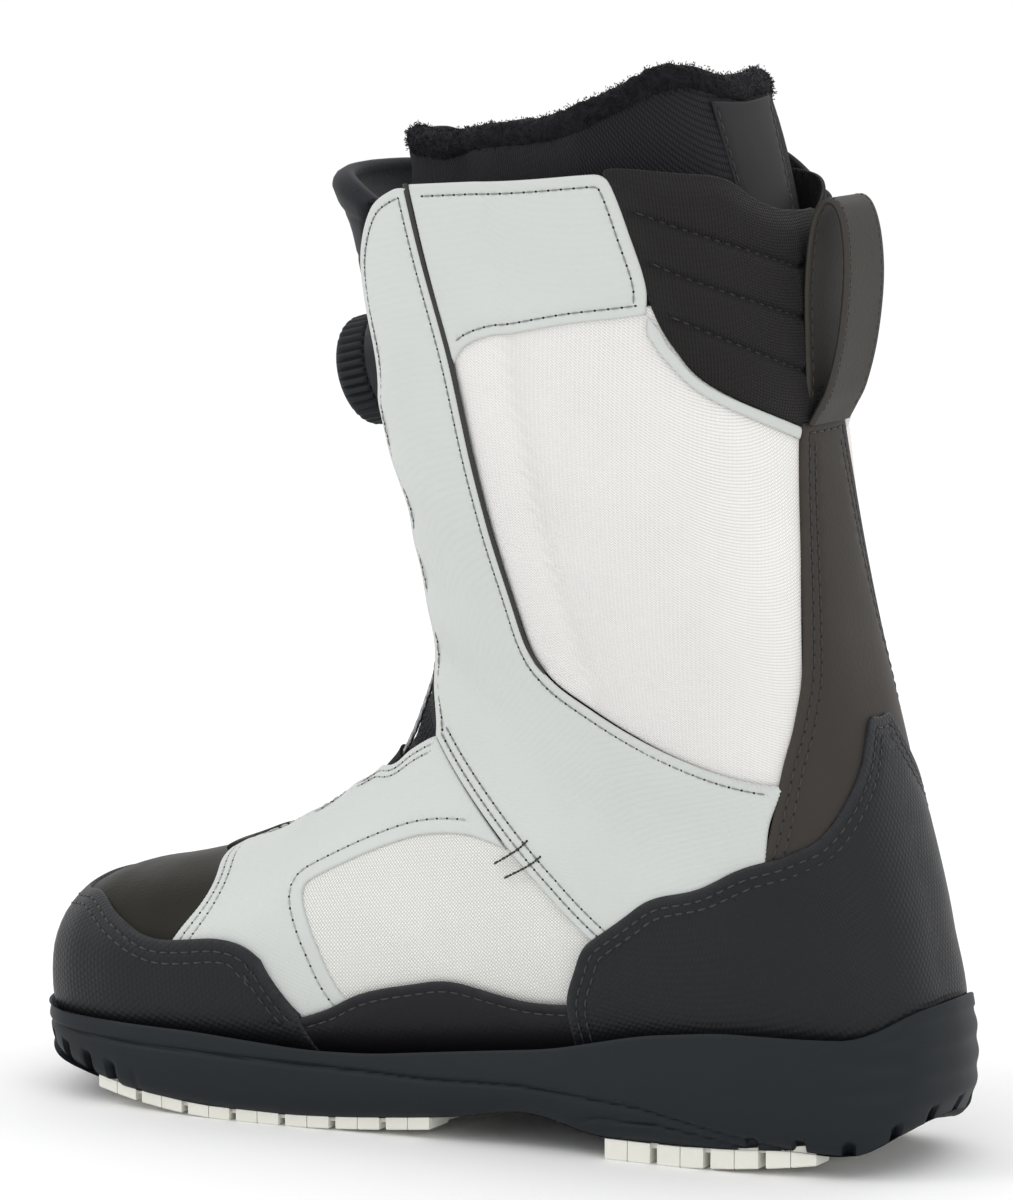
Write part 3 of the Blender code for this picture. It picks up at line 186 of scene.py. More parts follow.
PIPING = [[(0.905, 0.397), (0.855, 0.406), (0.790, 0.425), (0.700, 0.426), (0.615, 0.427),
           (0.593, 0.440)], [(0.590, 0.452), (0.600, 0.440)],
          [(0.620, 0.435), (0.700, 0.434), (0.790, 0.434), (0.855, 0.415), (0.906, 0.405)],
          [(0.905, 0.397)]]
WINDOW = [[(0.800, 0.428), (0.700, 0.428), (0.610, 0.430), (0.588, 0.450), (0.586, 0.500),
           (0.594, 0.620), (0.606, 0.765)], [(0.650, 0.840), (0.722, 0.910), (0.785, 0.950)],
          [(0.807, 0.782), (0.826, 0.726), (0.848, 0.700)],
          [(0.838, 0.554), (0.822, 0.480), (0.800, 0.428)]]
TOP_PATCH = [[(0.905, 0.405), (0.855, 0.415), (0.793, 0.432)],
             [(0.806, 0.455), (0.818, 0.500), (0.832, 0.580), (0.843, 0.690)],
             [(0.860, 0.694), (0.885, 0.680), (0.910, 0.664), (0.917, 0.650), (0.917, 0.620),
              (0.912, 0.530), (0.905, 0.405)]]
HEM = [[(0.843, 0.692), (0.834, 0.708), (0.824, 0.724), (0.806, 0.780), (0.786, 0.945)],
       [(0.780, 0.938)], [(0.800, 0.776), (0.817, 0.716), (0.832, 0.688)], [(0.843, 0.692)]]
COLLAR = [[(0.786, 1.0), (0.786, 0.950), (0.806, 0.786), (0.824, 0.730), (0.845, 0.700),
           (0.880, 0.680), (0.912, 0.655)],
          [(0.921, 0.660), (0.919, 0.760), (0.916, 0.835), (0.905, 0.890), (0.899, 0.940),
           (0.897, 1.0)]]
BACKSTAY = [[(0.788, 1.0), (0.788, 0.946)],
            [(0.720, 0.905), (0.672, 0.862), (0.642, 0.812), (0.612, 0.756), (0.545, 0.655)],
            [(0.552, 0.780), (0.575, 0.920), (0.590, 1.0)]]
COUNTER = [[(0.646, 1.0), (0.645, 0.972), (0.624, 0.918), (0.590, 0.800), (0.574, 0.730),
            (0.549, 0.640), (0.504, 0.545), (0.469, 0.529), (0.434, 0.544), (0.411, 0.584),
            (0.391, 0.639), (0.375, 0.734)], [(0.370, 0.840)],
           [(0.455, 0.860), (0.500, 0.900), (0.505, 1.0)]]
TONGUE_UPPER = [[(0.905, 0.0), (0.904, 0.12), (0.900, 0.21), (0.888, 0.295)],
                [(0.878, 0.278), (0.867, 0.262), (0.835, 0.240), (0.765, 0.222), (0.737, 0.200),
                 (0.700, 0.190), (0.620, 0.182), (0.534, 0.170)], [(0.534, 0.0)]]
TONGUE_LOWER = [[(0.560, 0.0), (0.560, 0.185)],
                [(0.470, 0.180), (0.428, 0.215), (0.385, 0.215), (0.345, 0.190), (0.300, 0.140),
                 (0.240, 0.105), (0.165, 0.100)], [(0.158, 0.0)]]
QUILT_LINES = [[(0.898, 0.690), (0.888, 0.770), (0.869, 0.955)],
               [(0.871, 0.705), (0.862, 0.770), (0.843, 0.955)],
               [(0.843, 0.725), (0.832, 0.810), (0.815, 0.955)]]
LINER_TOP = [(0.130, 0.913), (0.350, 0.916), (0.450, 0.926), (0.520, 0.932), (0.600, 0.937),
             (0.720, 0.953), (0.850, 0.967), (1.0, 0.954)]

# ---- boot form -----------------------------------------------------------------------


def form_parameters():
    """Return the u value of every station."""
    steps = np.diff(FORM[:, :4], axis=0)
    length = 0.5 * (np.hypot(steps[:, 0], steps[:, 1]) + np.hypot(steps[:, 2], steps[:, 3]))
    u = np.concatenate([[0.0], np.cumsum(length)])
    return u / u[-1]


FORM_U = form_parameters()


def form_slopes():
    """Return smooth slopes of the station values."""
    slopes = np.zeros_like(FORM)
    rise = np.diff(FORM, axis=0) / np.diff(FORM_U)[:, None]
    slopes[0] = rise[0]
    slopes[-1] = rise[-1]
    for i in range(1, len(FORM) - 1):
        before = FORM_U[i] - FORM_U[i - 1]
        after = FORM_U[i + 1] - FORM_U[i]
        slopes[i] = (rise[i - 1] * after + rise[i] * before) / (before + after)
    return slopes


FORM_SLOPES = form_slopes()


def station(u):
    """Interpolate the station values at each u."""
    u = np.clip(u, 0.0, 1.0)
    i = np.clip(np.searchsorted(FORM_U, u, side="right") - 1, 0, len(FORM_U) - 2)
    h = (FORM_U[i + 1] - FORM_U[i])[:, None]
    t = ((u - FORM_U[i]) / (FORM_U[i + 1] - FORM_U[i]))[:, None]
    return ((2 * t**3 - 3 * t**2 + 1) * FORM[i] + (t**3 - 2 * t**2 + t) * h * FORM_SLOPES[i]
            + (3 * t**2 - 2 * t**3) * FORM[i + 1] + (t**3 - t**2) * h * FORM_SLOPES[i + 1])


def wrapped(v):
    """Bring v into -1..1."""
    return (v + 1.0) % 2.0 - 1.0


def form_point(u, v):
    """Return points of the boot form."""
    s = station(u)
    v = wrapped(v)
    angle = math.pi * np.abs(v)
    cos, sin = np.cos(angle), np.sin(angle)
    power = np.where(cos > 0, s[:, 6], s[:, 7])
    along = np.sign(cos) * np.abs(cos)**(2 / power)
    across = np.abs(sin)**(2 / power)
    middle = (s[:, 0:2] + s[:, 2:4]) / 2
    half = (s[:, 0:2] - s[:, 2:4]) / 2
    xz = middle + half * along[:, None]
    y = s[:, 5] + np.sign(v) * s[:, 4] * across
    return np.stack([xz[:, 0], y, xz[:, 1]], 1)


def unit(vectors, guard=0.0):
    """Scale vectors to unit length."""
    return vectors / (np.linalg.norm(vectors, axis=-1, keepdims=True) + guard)


def form_normal(u, v):
    """Return outward unit normals of the boot form."""
    step = 2e-3
    u = np.clip(u, 4 * step, 1 - 2 * step)
    v = wrapped(v)
    v = np.where(np.abs(v) > 1 - step, np.sign(v) * (1 - step), v)
    v = np.where(np.abs(v) < step, step, v)
    along = form_point(u + step, v) - form_point(u - step, v)
    around = form_point(u, v + step) - form_point(u, v - step)
    return unit(np.cross(along, around))


def upper_surface(u, v, depth):
    """Return points at a depth over the boot form."""
    return form_point(u, v) + depth[:, None] * form_normal(u, v)


def liner_surface(u, v, depth):
    """Return points at a depth outside the liner's outer face."""
    front = np.clip((0.64 - np.abs(wrapped(v))) / 0.22, 0.0, 1.0)
    rise = np.clip((u - 0.40) / 0.14, 0.0, 1.0)
    roll = np.clip((u - COLLAR_ROLL_START) / COLLAR_ROLL_RISE, 0.0, 1.0)
    inset = (LINER_BACK_SET + (LINER_FRONT_SET - LINER_BACK_SET) * front * rise
             + LINER_TOP_SET * front * roll - depth)
    points = form_point(u, v) - inset[:, None] * form_normal(u, v)
    s = station(u)
    share = np.clip((points[:, 0] - s[:, 0]) / (s[:, 2] - s[:, 0] + 1e-9), 0.0, 1.0)
    lean = LINER_LEAN * np.clip(points[:, 2] - LINER_LEAN_START, 0.0, None)
    points[:, 0] -= lean * share**2
    return points


def lay(surface, uv, depth=0.0):
    """Lay rows of (u, v) on a surface, at one depth or at one depth per row."""
    return surface(uv[:, 0], uv[:, 1], np.zeros(len(uv)) + depth)


def spot(u, v, depth=0.0):
    """Return one point over the boot form and the outward normal there."""
    u, v = np.array([u]), np.array([v])
    return upper_surface(u, v, np.array([depth]))[0], form_normal(u, v)[0]


def arc_tables():
    """Return lengths along the form: up each line of a, and round each line of u."""
    u = np.linspace(0.0, 1.0, 161)
    a = np.linspace(0.0, 1.0, 81)
    uu, aa = np.meshgrid(u, a, indexing="ij")
    p = form_point(uu.ravel(), -aa.ravel()).reshape(len(u), len(a), 3)
    up = np.zeros((len(u), len(a)))
    up[1:] = np.cumsum(np.linalg.norm(np.diff(p, axis=0), axis=2), axis=0)
    around = np.zeros((len(u), len(a)))
    around[:, 1:] = np.cumsum(np.linalg.norm(np.diff(p, axis=1), axis=2), axis=1)
    return up, around - around[:, 40:41]


ARC_UP, ARC_AROUND = arc_tables()


def cloth_coordinates(u, v):
    """Return metric coordinates for weaves and grains on the form."""
    a = np.abs(wrapped(v))
    i = np.clip(u, 0, 1) * 160
    j = a * 80
    i0 = np.clip(i.astype(int), 0, 159)
    j0 = np.clip(j.astype(int), 0, 79)
    s, t = i - i0, j - j0
    out = []
    for table in (ARC_UP, ARC_AROUND):
        low = table[i0, j0] * (1 - t) + table[i0, j0 + 1] * t
        high = table[i0 + 1, j0] * (1 - t) + table[i0 + 1, j0 + 1] * t
        out.append(low * (1 - s) + high * s)
    return np.stack([out[1], out[0], np.zeros_like(u)], 1)


# ---- outlines --------------------------------------------------------------------


def span(a, b, c, d, count):
    """Return the smooth stretch from b to c, whose neighbours are a and d."""
    t = np.linspace(0, 1, count, endpoint=False)[:, None]
    return 0.5 * (2 * b + (c - a) * t + (2 * a - 5 * b + 4 * c - d) * t**2 + (3 * b - a - 3 * c + d) * t**3)


def bend(points, per_span=14):
    """Return a smooth run through its control points."""
    p = np.array(points, float)
    if len(p) == 2:
        t = np.linspace(0, 1, 2 * per_span)[:, None]
        return p[0] + (p[1] - p[0]) * t
    padded = np.vstack([2 * p[0] - p[1], p, 2 * p[-1] - p[-2]])
    out = [span(*padded[k - 1:k + 3], per_span) for k in range(1, len(padded) - 2)]
    return np.vstack(out + [p[-1:]])


def lengths(p):
    """Return the length along a line at each of its points."""
    return np.concatenate([[0], np.cumsum(np.linalg.norm(np.diff(p, axis=0), axis=1))])


def read_at(want, along, p):
    """Read the points of a line at the wanted lengths along it."""
    return np.stack([np.interp(want, along, p[:, k]) for k in range(p.shape[1])], 1)


def evenly(dense, count):
    """Read evenly spaced points along a line."""
    along = lengths(dense)
    return read_at(np.linspace(0, along[-1], count), along, dense)


def joined(runs):
    """Start each run at the end of the run before it, and bend them all."""
    whole = [runs[0]]
    for run in runs[1:]:
        whole.append([whole[-1][-1]] + run)
    return [(bend(run), k) for k, run in enumerate(whole)]


def close_front(runs):
    """Add the other side of a half outline that starts and ends on the front line."""
    curves = joined(runs)
    other = [(c[::-1] * (1, -1), k) for c, k in reversed(curves)]
    return curves + other


def close_back(runs):
    """Add the other side of a half outline that starts and ends on the back line."""
    curves = joined(runs)
    other = [(c[::-1] * (1, -1) + (0, 2), k) for c, k in reversed(curves)]
    return curves + other


def on_side(runs, side):
    """Put a one-sided outline on the medial (-1) or lateral (+1) side."""
    return [(curve * (1, side), k) for curve, k in joined(runs)]


class Chart:
    """A plane map of (u, v) with distances close to real ones."""

    def __init__(self, uv, polar):
        self.polar = polar
        u, v = uv[:, 0], uv[:, 1]
        step = 4e-3
        inner = np.clip(u, step, 1 - step)
        self.ku = np.mean(np.linalg.norm(form_point(inner + step, v) - form_point(inner - step, v),
                                         axis=1)) / (2 * step)
        self.kv = np.mean(np.linalg.norm(form_point(inner, v + step) - form_point(inner, v - step),
                                         axis=1)) / (2 * step)

    def plane(self, uv):
        """Map (u, v) to the plane."""
        if self.polar:
            angle = math.pi * uv[:, 1]
            return np.stack([self.ku * uv[:, 0] * np.cos(angle), self.ku * uv[:, 0] * np.sin(angle)], 1)
        return np.stack([self.ku * uv[:, 0], self.kv * uv[:, 1]], 1)

    def back(self, xy):
        """Map the plane to (u, v)."""
        if self.polar:
            return np.stack([np.hypot(xy[:, 0], xy[:, 1]) / self.ku,
                             np.arctan2(xy[:, 1], xy[:, 0]) / math.pi], 1)
        return np.stack([xy[:, 0] / self.ku, xy[:, 1] / self.kv], 1)


def sampled(curves, surface, step):
    """Read evenly spaced outline points: (u, v) and the run of each."""
    uv, run = [], []
    for curve, k in curves:
        along = lengths(lay(surface, curve))
        if along[-1] < 1e-5:
            continue
        count = max(1, int(math.ceil(along[-1] / step)))
        uv.append(read_at(np.linspace(0, along[-1], count, endpoint=False), along, curve))
        run += [k] * count
    return np.vstack(uv), np.array(run)


def within(polygon, points):
    """Tell which plane points lie inside a closed polygon."""
    a, b = polygon, np.roll(polygon, -1, axis=0)
    found = np.zeros(len(points), bool)
    for start in range(0, len(points), 2000):
        p = points[start:start + 2000, None, :]
        crosses = (a[:, 1] > p[..., 1]) != (b[:, 1] > p[..., 1])
        at = (b[:, 0] - a[:, 0]) * (p[..., 1] - a[:, 1]) / (b[:, 1] - a[:, 1] + 1e-18) + a[:, 0]
        found[start:start + 2000] = (np.sum(crosses & (p[..., 0] < at), axis=1) % 2) == 1
    return found


def distance_to(lines, points):
    """Return each point's distance to a set of segments, and the nearest one."""
    a, b = lines
    d = b - a
    length = np.maximum(np.sum(d * d, axis=1), 1e-18)
    best = np.zeros(len(points))
    nearest = np.zeros(len(points), int)
    for start in range(0, len(points), 1000):
        p = points[start:start + 1000, None, :]
        t = np.clip(np.sum((p - a) * d, axis=2) / length, 0.0, 1.0)
        gap = np.linalg.norm(p - (a + t[..., None] * d), axis=2)
        nearest[start:start + 1000] = np.argmin(gap, axis=1)
        best[start:start + 1000] = np.min(gap, axis=1)
    return best, nearest


def inward(chart, surface, uv, closed=True):
    """Return the plane step, per metre, that leads inwards from each outline point."""
    xy = chart.plane(uv)
    h = 2e-4

    def at(points):
        return lay(surface, chart.back(points))

    jx = (at(xy + (h, 0)) - at(xy - (h, 0))) / (2 * h)
    jy = (at(xy + (0, h)) - at(xy - (0, h))) / (2 * h)
    p = at(xy)
    if closed:
        tangent = np.roll(p, -1, axis=0) - np.roll(p, 1, axis=0)
    else:
        tangent = np.gradient(p, axis=0)
    side = unit(np.cross(np.cross(jx, jy), unit(tangent, 1e-12)), 1e-12)
    xx, yy, xy_ = np.sum(jx * jx, 1), np.sum(jy * jy, 1), np.sum(jx * jy, 1)
    bx, by = np.sum(jx * side, 1), np.sum(jy * side, 1)
    det = xx * yy - xy_**2 + 1e-18
    step = np.stack([(bx * yy - by * xy_) / det, (by * xx - bx * xy_) / det], 1)
    if closed:
        area = np.sum(xy[:, 0] * np.roll(xy[:, 1], -1) - np.roll(xy[:, 0], -1) * xy[:, 1])
        if area < 0:
            step = -step
    return step


# ---- mesh helpers ------------------------------------------------------------------


def add_mesh(name, points, faces, sharp=50.0, materials=()):
    """Create a smooth-shaded mesh object."""
    mesh = bpy.data.meshes.new(name)
    mesh.from_pydata(np.asarray(points, float).tolist(), [], faces)
    mesh.validate()
    mesh.polygons.foreach_set("use_smooth", [True] * len(mesh.polygons))
    mesh.set_sharp_from_angle(angle=math.radians(sharp))
    obj = bpy.data.objects.new(name, mesh)
    bpy.context.scene.collection.objects.link(obj)
    for material in materials:
        mesh.materials.append(material)
    return obj


def store(obj, name, values):
    """Store a value or a vector per vertex for the materials."""
    values = np.asarray(values, np.float32)
    if values.ndim == 1:
        obj.data.attributes.new(name, "FLOAT", "POINT").data.foreach_set("value", values)
    else:
        obj.data.attributes.new(name, "FLOAT_VECTOR", "POINT").data.foreach_set("vector", values.ravel())


def turn(count):
    """Return the angles of a full turn."""
    return [2 * math.pi * j / count for j in range(count)]


def ring_faces(rows, size, start=0, wrap=False):
    """Return the quads of a stack of closed rings; wrap joins the last ring to the first."""
    faces = []
    for k in range(rows if wrap else rows - 1):
        a = start + k * size
        b = start + (k + 1) % rows * size
        for j in range(size):
            n = (j + 1) % size
            faces.append([a + j, a + n, b + n, b + j])
    return faces


def closed_stack(rows, size, start=0):
    """Return the quads of a stack of rings and the two faces that close its ends."""
    last = start + (rows - 1) * size
    caps = [[start + j for j in reversed(range(size))], [last + j for j in range(size)]]
    return ring_faces(rows, size, start) + caps


def attach(obj, place):
    """Parent a piece to the empty of its part of the boot; ankle and shin pieces only have their transform
    baked.
    """
    if place == "ankle":
        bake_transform(obj)
    elif place == "shin":
        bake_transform(obj)
    else:
        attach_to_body(obj, place)
    return obj


def settle(obj, place, slot, *nodes):
    """Attach a piece and hide the CAD nodes it stands for; the slot is not used."""
    attach(obj, place)
    if nodes:
        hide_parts(*nodes)


def recalc(obj):
    """Turn all faces outwards."""
    bm = bmesh.new()
    bm.from_mesh(obj.data)
    bmesh.ops.recalc_face_normals(bm, faces=bm.faces[:])
    bm.to_mesh(obj.data)
    bm.free()


# ---- panels ---------------------------------------------------------------------------


class Panel:
    """A closed sheet on the form with rolled edges, seam grooves and stitching."""

    def __init__(self, name, curves, layer, place, material, surface=upper_surface, polar=False,
                 stitched=None, grid=3.0 * MM, roll=EDGE_ROLL, puff=0.0, puff_reach=8.0 * MM,
                 channels=(), relief=None):
        self.name, self.layer, self.place, self.surface = name, layer, place, surface
        self.stitched = stitched or {}
        self.uv, self.run = sampled(curves, surface, EDGE_STEP)
        self.chart = Chart(self.uv, polar)
        self.edge_xy = self.chart.plane(self.uv)
        self.step = inward(self.chart, surface, self.uv)
        edge = lay(surface, self.uv)
        self.segments = (edge, np.roll(edge, -1, axis=0))
        self.channels = channels
        self.build(material, grid, roll, puff, puff_reach, relief)

    def edge_gap(self, xy):
        """Return each plane point's real distance to the edge, and the nearest edge point."""
        return distance_to(self.segments, lay(self.surface, self.chart.back(xy)))

    def rings(self, roll):
        """Return plane points of the edge rings and the seam grooves."""
        out = [(share * roll, None) for share in EDGE_RINGS] + [(roll + 0.7 * MM, None)]
        for k, rows in self.stitched.items():
            for row in rows:
                out += [(row * MM + shift * MM, k) for shift in SEAM_RINGS]
        points = []
        for distance, k in out:
            keep = np.ones(len(self.uv), bool) if k is None else self.run == k
            xy = self.edge_xy[keep] + self.step[keep] * distance
            gap, _ = self.edge_gap(xy)
            points.append(xy[(gap > 0.85 * distance) & within(self.edge_xy, xy)])
        return points

    def channel_points(self):
        """Return plane points along the quilting channels, and their segments."""
        points, starts, ends = [], [], []
        for line in self.channels:
            uv, _ = sampled([(line, 0)], self.surface, EDGE_STEP)
            xy = self.chart.plane(uv)
            step = inward(self.chart, self.surface, uv, closed=False)
            p = lay(self.surface, uv)
            starts.append(p[:-1])
            ends.append(p[1:])
            for distance in CHANNEL_RINGS:
                points.append(xy + step * distance * MM)
        return points, (np.vstack(starts), np.vstack(ends))

    def fill_points(self, grid, roll, channel_lines):
        """Return plane points inside the panel, clear of its edge, seams and channels."""
        low, high = self.edge_xy.min(0), self.edge_xy.max(0)
        gx, gy = np.meshgrid(np.arange(low[0], high[0], grid), np.arange(low[1], high[1], grid))
        gy = gy + 0.5 * grid * (np.arange(gx.shape[1]) % 2)[None, :]
        inner = np.stack([gx.ravel(), gy.ravel()], 1)
        inner = inner[within(self.edge_xy, inner)]
        gap, nearest = self.edge_gap(inner)
        clear = np.full(len(inner), roll + 2.0 * MM)
        for k, rows in self.stitched.items():
            clear[self.run[nearest] == k] = (max(rows) + 1.8) * MM
        keep = gap > clear
        if channel_lines is not None:
            keep &= distance_to(channel_lines, lay(self.surface, self.chart.back(inner)))[0] > 2.8 * MM
        return inner[keep]

    def build(self, material, grid, roll, puff, puff_reach, relief):
        """Triangulate the panel and give it its thickness."""
        extra = self.rings(roll)
        channel_lines = None
        if len(self.channels):
            more, channel_lines = self.channel_points()
            extra += [m[within(self.edge_xy, m)] for m in more]
        points = np.vstack([self.edge_xy] + extra + [self.fill_points(grid, roll, channel_lines)])
        ring = list(range(len(self.edge_xy)))
        verts, _, faces, _, _, _ = delaunay_2d_cdt([Vector(p) for p in points], [], [ring], 1, 2e-5)
        faces = np.array([f for f in faces if len(f) == 3])
        uv = self.chart.back(np.array([v[:] for v in verts]))
        base = lay(self.surface, uv)
        d, nearest = distance_to(self.segments, base)
        bottom, top = self.layer
        rounding = 1 - np.sqrt(1 - (1 - np.clip(d / roll, 0.0, 1.0))**2)
        height = top - roll * 0.8 * rounding + puff * (1 - np.exp(-(d / puff_reach)**2))
        run = self.run[nearest]
        for k, rows in self.stitched.items():
            for row in rows:
                groove_here = np.exp(-((d - row * MM) / GROOVE_WIDTH)**2)
                height -= np.where(run == k, GROOVE_DEPTH * groove_here, 0.0)
        pinned = d < PIN_WIDTH
        if channel_lines is not None:
            dc, _ = distance_to(channel_lines, base)
            height -= min(0.8 * puff, CHANNEL_DEPTH) * np.exp(-(dc / CHANNEL_WIDTH)**2)
            pinned |= dc < 0.9 * MM
        if relief is not None:
            height += relief(uv[:, 0], uv[:, 1], d)
        under = min(0.8 * roll, 0.45 * (top - bottom)) * rounding
        up = lay(self.surface, uv, height)
        down = lay(self.surface, uv, bottom + under)
        self.obj = add_mesh(self.name, *closed_sheet(up, down, faces), materials=[material])
        cloth = cloth_coordinates(uv[:, 0], uv[:, 1])
        store(self.obj, "cloth", np.vstack([cloth, cloth]))
        store(self.obj, "edge", np.tile(np.exp(-d / PIN_WIDTH), 2))
        self.free = np.concatenate([~pinned, np.zeros(len(uv), bool)])

    def finish(self, *nodes, slot=None):
        """Attach the panel and hide the CAD nodes it stands for."""
        settle(self.obj, self.place, slot, *nodes)

    def stitch(self, looks, thread):
        """Sew the stitched runs of the panel."""
        lines = []
        for k, rows in self.stitched.items():
            for row in rows:
                for part in runs_of(self.run == k):
                    if len(part) < 4:
                        continue
                    xy = self.edge_xy[part] + self.step[part] * row * MM
                    uv = self.chart.back(xy)
                    gap, _ = self.edge_gap(xy)
                    clear = runs_of(gap > 0.9 * row * MM, wrap=False)
                    lines += [uv[piece] for piece in clear if len(piece) > 3]
        depth = self.layer[1] - 0.10 * MM
        sew(self.name + "_stitches", lines, self.surface, depth, self.place, looks, thread)


def closed_sheet(up, down, faces):
    """Join a triangulated top and bottom into one closed skin."""
    count = len(up)
    solid = faces.tolist() + (faces[:, ::-1] + count).tolist()
    edges = set()
    for a, b, c in faces.tolist():
        edges.update(((a, b), (b, c), (c, a)))
    for a, b in edges:
        if (b, a) not in edges:
            solid.append([b, a, a + count, b + count])
    points = np.vstack([up, down])
    a, b, c = (up[faces[:, n]] for n in range(3))
    flux = np.sum(np.cross(b - a, c - a) * (up - down)[faces[:, 0]])
    if flux < 0:
        solid = [list(reversed(f)) for f in solid]
    return points, solid


def runs_of(mask, wrap=True):
    """Split a ring of flags into index runs that are set."""
    if mask.all():
        return [np.arange(len(mask))]
    start = int(np.argmin(mask)) if wrap else 0
    order = np.roll(np.arange(len(mask)), -start)
    out, now = [], []
    for i in order:
        if mask[i]:
            now.append(i)
        elif now:
            out.append(np.array(now))
            now = []
    if now:
        out.append(np.array(now))
    return out


def stitch_bar(line, up, out, radius):
    """Return the rings of one stitch, thick in its middle and sunk at its ends."""
    points = []
    for centre, normal, share in zip(line, up, STITCH_SWELL):
        sink = normal * radius * (0.35 - 1.5 * (1 - share))
        for angle in turn(STITCH_SIDES):
            points.append(centre + sink + radius * share * (math.cos(angle) * out + math.sin(angle) * normal))
    return points


def needle_hole_shade(centre, ahead, out, up):
    """Return the rings of the dark oval between two stitches, painted shade standing for the needle hole."""
    points = []
    for share, height in ((1.0, -0.1 * MM), (0.8, 0.16 * MM)):
        for angle in turn(STITCH_SIDES):
            oval = 1.25 * math.cos(angle) * ahead + math.sin(angle) * out
            points.append(centre + height * up + HOLE_SIZE * share * oval)
    return points


def sew(name, lines, surface, depth, place, looks, thread, pitch=STITCH_PITCH, radius=STITCH_RADIUS):
    """Lay stitches along lines of (u, v): a thread bar and, at each end, a dark oval that paints the shade of
    the needle hole.
    """
    points, faces, slots = [], [], []
    for uv in lines:
        p = lay(surface, uv, depth)
        n = unit(lay(surface, uv, depth + MM) - p)
        along = lengths(p)
        count = int(along[-1] / pitch)
        room = along[-1] / max(count, 1)
        reach = 0.5 * room * STITCH_LENGTH / STITCH_PITCH
        for k in range(count):
            s = np.linspace((k + 0.5) * room - reach, (k + 0.5) * room + reach, len(STITCH_SWELL))
            line, up = read_at(s, along, p), read_at(s, along, n)
            ahead = unit(line[-1] - line[0], 1e-12)
            out = np.cross(up[2], ahead)
            hole = line[-1] + ahead * (0.5 * (room - 2 * reach)) - up[-1] * 0.10 * MM
            both = (stitch_bar(line, up, out, radius), needle_hole_shade(hole, ahead, out, up[-1]))
            for slot, rings in enumerate(both):
                more = closed_stack(len(rings) // STITCH_SIDES, STITCH_SIDES, len(points))
                points += rings
                faces += more
                slots += [slot] * len(more)
    if not points:
        return
    obj = add_mesh(name, points, faces, materials=[looks[thread], looks["hole"]])
    obj.data.polygons.foreach_set("material_index", slots[:len(obj.data.polygons)])
    recalc(obj)
    attach(obj, place)


CLOTH = {"vertex_group_mass": "pins", "quality": 6, "mass": 0.2, "tension_stiffness": 12.0,
         "compression_stiffness": 12.0, "bending_stiffness": 0.4, "use_pressure": True}


def inflate(panel, pressure, cap, frames=20):
    """Puff a padded panel with a cloth simulation, pinned at its edge and channels."""
    obj = panel.obj
    rest = np.array([v.co for v in obj.data.vertices])
    pins = obj.vertex_groups.new(name="pins")
    pins.add(np.flatnonzero(~panel.free).tolist(), 1.0, "REPLACE")
    cloth = obj.modifiers.new("puff", "CLOTH")
    for key, value in CLOTH.items():
        setattr(cloth.settings, key, value)
    cloth.settings.uniform_pressure_force = pressure
    cloth.settings.effector_weights.gravity = 0.0
    cloth.collision_settings.use_collision = False
    cloth.point_cache.frame_start = 1
    cloth.point_cache.frame_end = frames
    scene = bpy.context.scene
    for frame_number in range(1, frames + 1):
        scene.frame_set(frame_number)
    graph = bpy.context.evaluated_depsgraph_get()
    moved = np.array([v.co for v in obj.evaluated_get(graph).data.vertices])
    obj.modifiers.remove(cloth)
    obj.vertex_groups.clear()
    scene.frame_set(1)
    shift = moved - rest
    size = np.linalg.norm(shift, axis=1, keepdims=True)
    shift *= np.minimum(1.0, cap / np.maximum(size, 1e-9))
    obj.data.vertices.foreach_set("co", (rest + shift).ravel())
    obj.data.update()


# ---- materials ----------------------------------------------------------------------------


